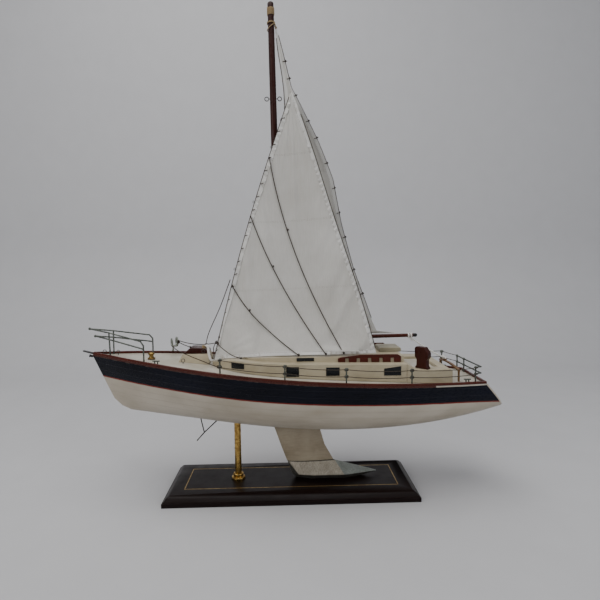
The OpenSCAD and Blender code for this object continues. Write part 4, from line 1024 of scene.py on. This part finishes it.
def brail_lines():
    """Three cords that hang across the headsail from the luff, each with its knot."""
    paths = []
    knots = []
    for group, bow in zip(sorted(islands("brail_lines"), key=lambda g: -max(p.z for p in g)), (11, 7, 9)):
        top = max(group, key=lambda p: p.z)
        low = min(group, key=lambda p: p.z)
        edge = min((row[0] for row in head_grid), key=lambda p: abs(p.z - top.z))
        path = []
        for i in range(25):
            k = i / 24
            x = edge.x + (low.x - edge.x) * k - 4 * bow * MM * k * (1 - k)
            path.append(on_headsail(x, top.z + (low.z - top.z) * k))
        smoothed = [path[0]] + [(a + 2 * b + c) / 4 for a, b, c in zip(path, path[1:], path[2:])] + [path[-1]]
        paths.append([edge + mm(-0.6, -0.4, 0.4)] + smoothed)
        knots.append((smoothed[-1] - mm(0, 0, 0.6), (0, 0, 1), 0.0008))
        knots.append((smoothed[9], (0.5, 0, 1), 0.0006))
    piece = cords("brail_threads", paths, 0.00095, dark_thread, "headsail", knots=knots)
    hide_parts("brail_lines")


leech_line()
luff_line()
brail_lines()


# ------------------------------------------------------------------ lines of the deck


def hang(a, b, sag, count=6):
    """Points of a line that sags between two points."""
    shares = [i / count for i in range(count + 1)]
    return [a.lerp(b, share) - Vector((0, 0, 4 * sag * share * (1 - share))) for share in shares]


def posts():
    """Every stanchion from bow to stern, as (side, middle x, middle y, lowest z, highest z)."""
    found = []
    for points in islands("stanchions"):
        low, high = box_of(points)
        x, y, _ = (low + high) / 2
        found.append((math.copysign(1, y), x, y, low.z, high.z))
    return sorted(found, key=lambda p: p[1])


KNOB_OUT = 0.0021
all_posts = posts()


def stanchion_wraps():
    """Wire wound round every stanchion where the lines pass it."""
    verts = []
    faces = []
    for _, x, y, _, top in all_posts:
        for drop in (0.0030, 0.0101):
            wind(verts, faces, Vector((x, y, top - drop)), Vector((0, 0, 1)), 0.00175, 0.0008, 3.2, 0.00042)
    made("stanchion_wraps", verts, faces, aged_metal, "hull")


stanchion_wraps()


def lifelines(side, node):
    """Two lines on one side, wound once round each post's knobs and led to the pushpit."""
    solids = sorted(islands(node), key=lambda g: -max(p.z for p in g))
    mine = [p for p in all_posts if p[0] == side]
    paths = []
    knots = []
    for drop, solid in zip((0.00135, 0.00845), solids):
        marks = [Vector((x, y + side * KNOB_OUT, top - drop)) for _, x, y, _, top in mine]
        marks.append(max(solid, key=lambda p: p.x) - mm(0.2, 0, 0))
        path = []
        for a, b in zip(marks, marks[1:]):
            path.extend(hang(a, b, (b.x - a.x) / 50, 6)[:-1])
        paths.append(path + [marks[-1]])
        for mark in marks:
            knots.append((mark - mm(0.6, 0, 0), (1, 0, 0), 0.0005))
    name = "lifeline_cords_" + ("port" if side < 0 else "starboard")
    piece = cords(name, paths, 0.00075, line_thread, "hull", knots)
    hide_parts(node)


lifelines(-1, "lifelines_port")
lifelines(1, "lifelines_starboard")


def foredeck_line():
    """Cords from the rings at the rail to the hatch, to the first stanchion and up to the luff."""
    rings_low, rings_high = corners("ring_post")
    ring = Vector((rings_high.x, rings_low.y, rings_high.z))
    lid_low, lid_high = corners("hatch_lid")
    lid_edge = lid_low + mm(-3.4, 2, 2)
    lid_corner = Vector((lid_low.x + 0.0061, (lid_low.y + lid_high.y) / 2 - 0.0036, lid_high.z + 0.0002))
    post = next(p for p in all_posts if p[0] < 0)
    post_side = Vector((post[1] - 0.0016, post[2] + 0.0002, post[3] + 0.0094))
    tack = head_grid[0][0]
    knot = tack + mm(2.6, -2.9, 20)
    upper = hang(ring + mm(0.2, 0.2, -3.85), knot, 0.003, 8)
    branch = upper[6]
    paths = [
        hang(ring + mm(0, 0.2, -5.65), lid_corner, 0.0004, 5),
        [ring + mm(-7.6, 0.4, -10.05), lid_edge, post_side],
        upper,
        [knot, tack + mm(6.2, -9.4, 19.2), tack + mm(11.3, -13.6, 15.6), tack + mm(21.7, -19.2, 9.3),
         tack + mm(30.6, -22.4, 6.6)],
        [branch, branch + mm(4.3, -1.2, 14), tack + mm(8.6, -2.8, 60), tack + mm(20, -3, 89)],
        [knot + mm(0, -0.4, 0.3), knot + mm(1.6, -2.2, 2.6), knot + mm(3.4, -3.2, 0.8),
         knot + mm(4.0, -3.6, -3.2)],
        [knot, knot + mm(-2.2, -0.6, -5), knot + mm(-2.4, -0.6, -12), tack + mm(-1.6, -1.5, 1.5)],
    ]
    knots = [
        (knot - mm(0, 0, 0.8), (0.4, 0.2, 1), 0.0011),
        (branch - mm(0.4, 0, 0.2), (1, 0, 0.2), 0.0008),
        (post_side - mm(0, 0, 0.5), (0, 0, 1), 0.0013),
        (ring + mm(-0.5, 0.7, -4.4), (0.7, -0.7, 0), 0.0009),
        (ring + mm(-0.7, 0.7, -6.2), (0.7, -0.7, 0), 0.0009),
        (lid_corner, (1, -0.6, 0), 0.0006),
        (paths[3][-1], (1, 0, 0), 0.0007),
    ]
    piece = cords("foredeck_cords", paths, 0.0009, dark_thread, "hull", knots=knots)
    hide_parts("foredeck_line")
    return tack


tack_point = foredeck_line()


def strap(name, path, width, thick, across, material, body):
    """A flat woven strap along a path."""
    path = smooth_path(path, 0.0008)
    verts = []
    faces = []
    across = Vector(across).normalized()
    for i, point in enumerate(path):
        tangent = (path[min(i + 1, len(path) - 1)] - path[max(i - 1, 0)]).normalized()
        side = (across - tangent * across.dot(tangent)).normalized() * width / 2
        out = tangent.cross(side).normalized() * thick / 2
        curl = out * (0.8 * math.sin(i * 0.23))
        verts.extend([point - side - out + curl, point + side - out,
                      point + side + out, point - side + out + curl])
    skin(faces, 0, len(path) - 1, 4)
    made(name, verts, faces, material, body)


def tack_straps():
    """White tape at the headsail's tack, with a small coil of cord beside it."""
    top = tack_point + mm(-8.1, -1, 17.3)
    bend = tack_point + mm(-3.8, -2.6, 1.7)
    path = [top + mm(-1.6, 2, -0.6), top, top + mm(2.0, -0.4, -2.4), top + mm(2.6, -1.2, -8), bend]
    strap("tack_tape", path, 0.0027, 0.0004, (1, -0.2, 0.3), tape_cloth, "hull")
    tail = [bend, tack_point + mm(-2.4, -2.2, 0.6), tack_point + mm(-0.4, -1.2, 0.8)]
    strap("tack_tape_end", tail, 0.0022, 0.0004, (0.4, -0.2, 1), tape_cloth, "hull")
    verts = []
    faces = []
    wind(verts, faces, top + mm(-4.2, 2.4, -2.2), Vector((1, -0.2, 0.1)), 0.0016, 0.0011, 3.4, 0.0005)
    made("tack_coil", verts, faces, hemp_thread, "hull")


tack_straps()


def mainsheet():
    """White cord from the boom's end to the traveller."""
    low, high = corners("mainsheet")
    top = Vector((low.x + 0.0002, low.y + 0.0003, high.z - 0.0002))
    foot = Vector((high.x - 0.0002, high.y - 0.0003, low.z + 0.0002))
    middle = top.lerp(foot, 0.55) - mm(0, 0, 0.8)
    loop = [foot + mm(-1.4, 0.6, 2.2), foot + mm(0.2, 1.4, 1.4), foot + mm(1.0, 0.4, 0.2),
            foot - mm(0, 0, 0.5)]
    knots = [(foot + mm(-0.7, -0.2, 0.7), (-0.7, -0.3, 0.7), 0.0009),
             (top - mm(0, 0, 0.3), (0.7, 0.2, -0.7), 0.0008)]
    piece = cords("mainsheet_cord", [[top, middle, foot], loop], 0.0016, white_thread, knots=knots)
    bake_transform(piece)
    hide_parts("mainsheet")


mainsheet()


# ------------------------------------------------------------------ floor, light and camera


def plain_material(name, colour, roughness):
    g = Graph(name)
    mottled = g.noise(0.05, 4.0)
    tint = g.ramp(mottled, (0.3, tuple(c * 0.97 for c in colour)), (0.7, colour))
    return g.done(tint, roughness, g.bump(mottled, 0.0002, 0.05))


def backdrop():
    """Pale floor that curves up into a wall behind the object."""
    depth, rise, bend = 0.55, 2.2, 0.35
    profile = [(-1.6, 0.0), (depth, 0.0)]
    for i in range(1, 17):
        a = math.pi / 2 * i / 16
        profile.append((depth + bend * math.sin(a), bend * (1 - math.cos(a))))
    profile.append((depth + bend, rise))
    verts = []
    for y, z in profile:
        verts.extend([(-2.6, y, z), (2.6, y, z)])
    faces = [(2 * i, 2 * i + 1, 2 * i + 3, 2 * i + 2) for i in range(len(profile) - 1)]
    mesh = mesh_from("backdrop", verts, faces)
    mesh.materials.append(plain_material("backdrop_paper", (0.57, 0.57, 0.585), 0.75))
    piece = bpy.data.objects.new("backdrop", mesh)
    bpy.context.scene.collection.objects.link(piece)


def area_light(name, place, target, size, power, colour=(1, 1, 1)):
    data = bpy.data.lights.new(name, "AREA")
    data.shape = "RECTANGLE"
    data.size = size[0]
    data.size_y = size[1]
    data.energy = power
    data.color = colour
    light = bpy.data.objects.new(name, data)
    light.location = place
    light.rotation_euler = (Vector(target) - Vector(place)).to_track_quat("-Z", "Y").to_euler()
    bpy.context.scene.collection.objects.link(light)


def lights():
    world = bpy.data.worlds.new("studio")
    world.use_nodes = True
    world.node_tree.nodes["Background"].inputs["Color"].default_value = (0.93, 0.95, 1.0, 1)
    world.node_tree.nodes["Background"].inputs["Strength"].default_value = 0.29
    bpy.context.scene.world = world
    area_light("overhead", (-0.15, -0.15, 1.5), (0, 0.05, 0.1), (1.5, 1.1), 14, (1.0, 0.99, 0.97))
    area_light("front_left", (-1.1, -1.15, 0.85), (0, 0, 0.2), (0.9, 0.9), 8, (1.0, 0.98, 0.95))
    area_light("front_right", (1.2, -1.0, 0.7), (0, 0, 0.15), (0.8, 0.9), 4.5, (0.95, 0.97, 1.0))


def camera():
    """Camera in front of the port side, a little above the deck, looking slightly down."""
    yaw, pitch, roll = (math.radians(a) for a in (1.63, 4.18, -0.62))
    ahead = Vector((math.sin(yaw), math.cos(yaw), 0))
    right = Vector((math.cos(yaw), -math.sin(yaw), 0))
    up = Vector((0, 0, 1))
    look = ahead * math.cos(pitch) - up * math.sin(pitch)
    over = ahead * math.sin(pitch) + up * math.cos(pitch)
    side = right * math.cos(roll) + over * math.sin(roll)
    top = over * math.cos(roll) - right * math.sin(roll)
    data = bpy.data.cameras.new("camera")
    data.sensor_width = 36
    data.lens = 27.35
    data.clip_start = 0.01
    piece = bpy.data.objects.new("camera", data)
    rotation = Matrix((side, top, -look)).transposed().to_4x4()
    piece.matrix_world = Matrix.Translation(mm(-2.8, -513.1, 253.1)) @ rotation
    bpy.context.scene.collection.objects.link(piece)
    bpy.context.scene.camera = piece


backdrop()
lights()
camera()
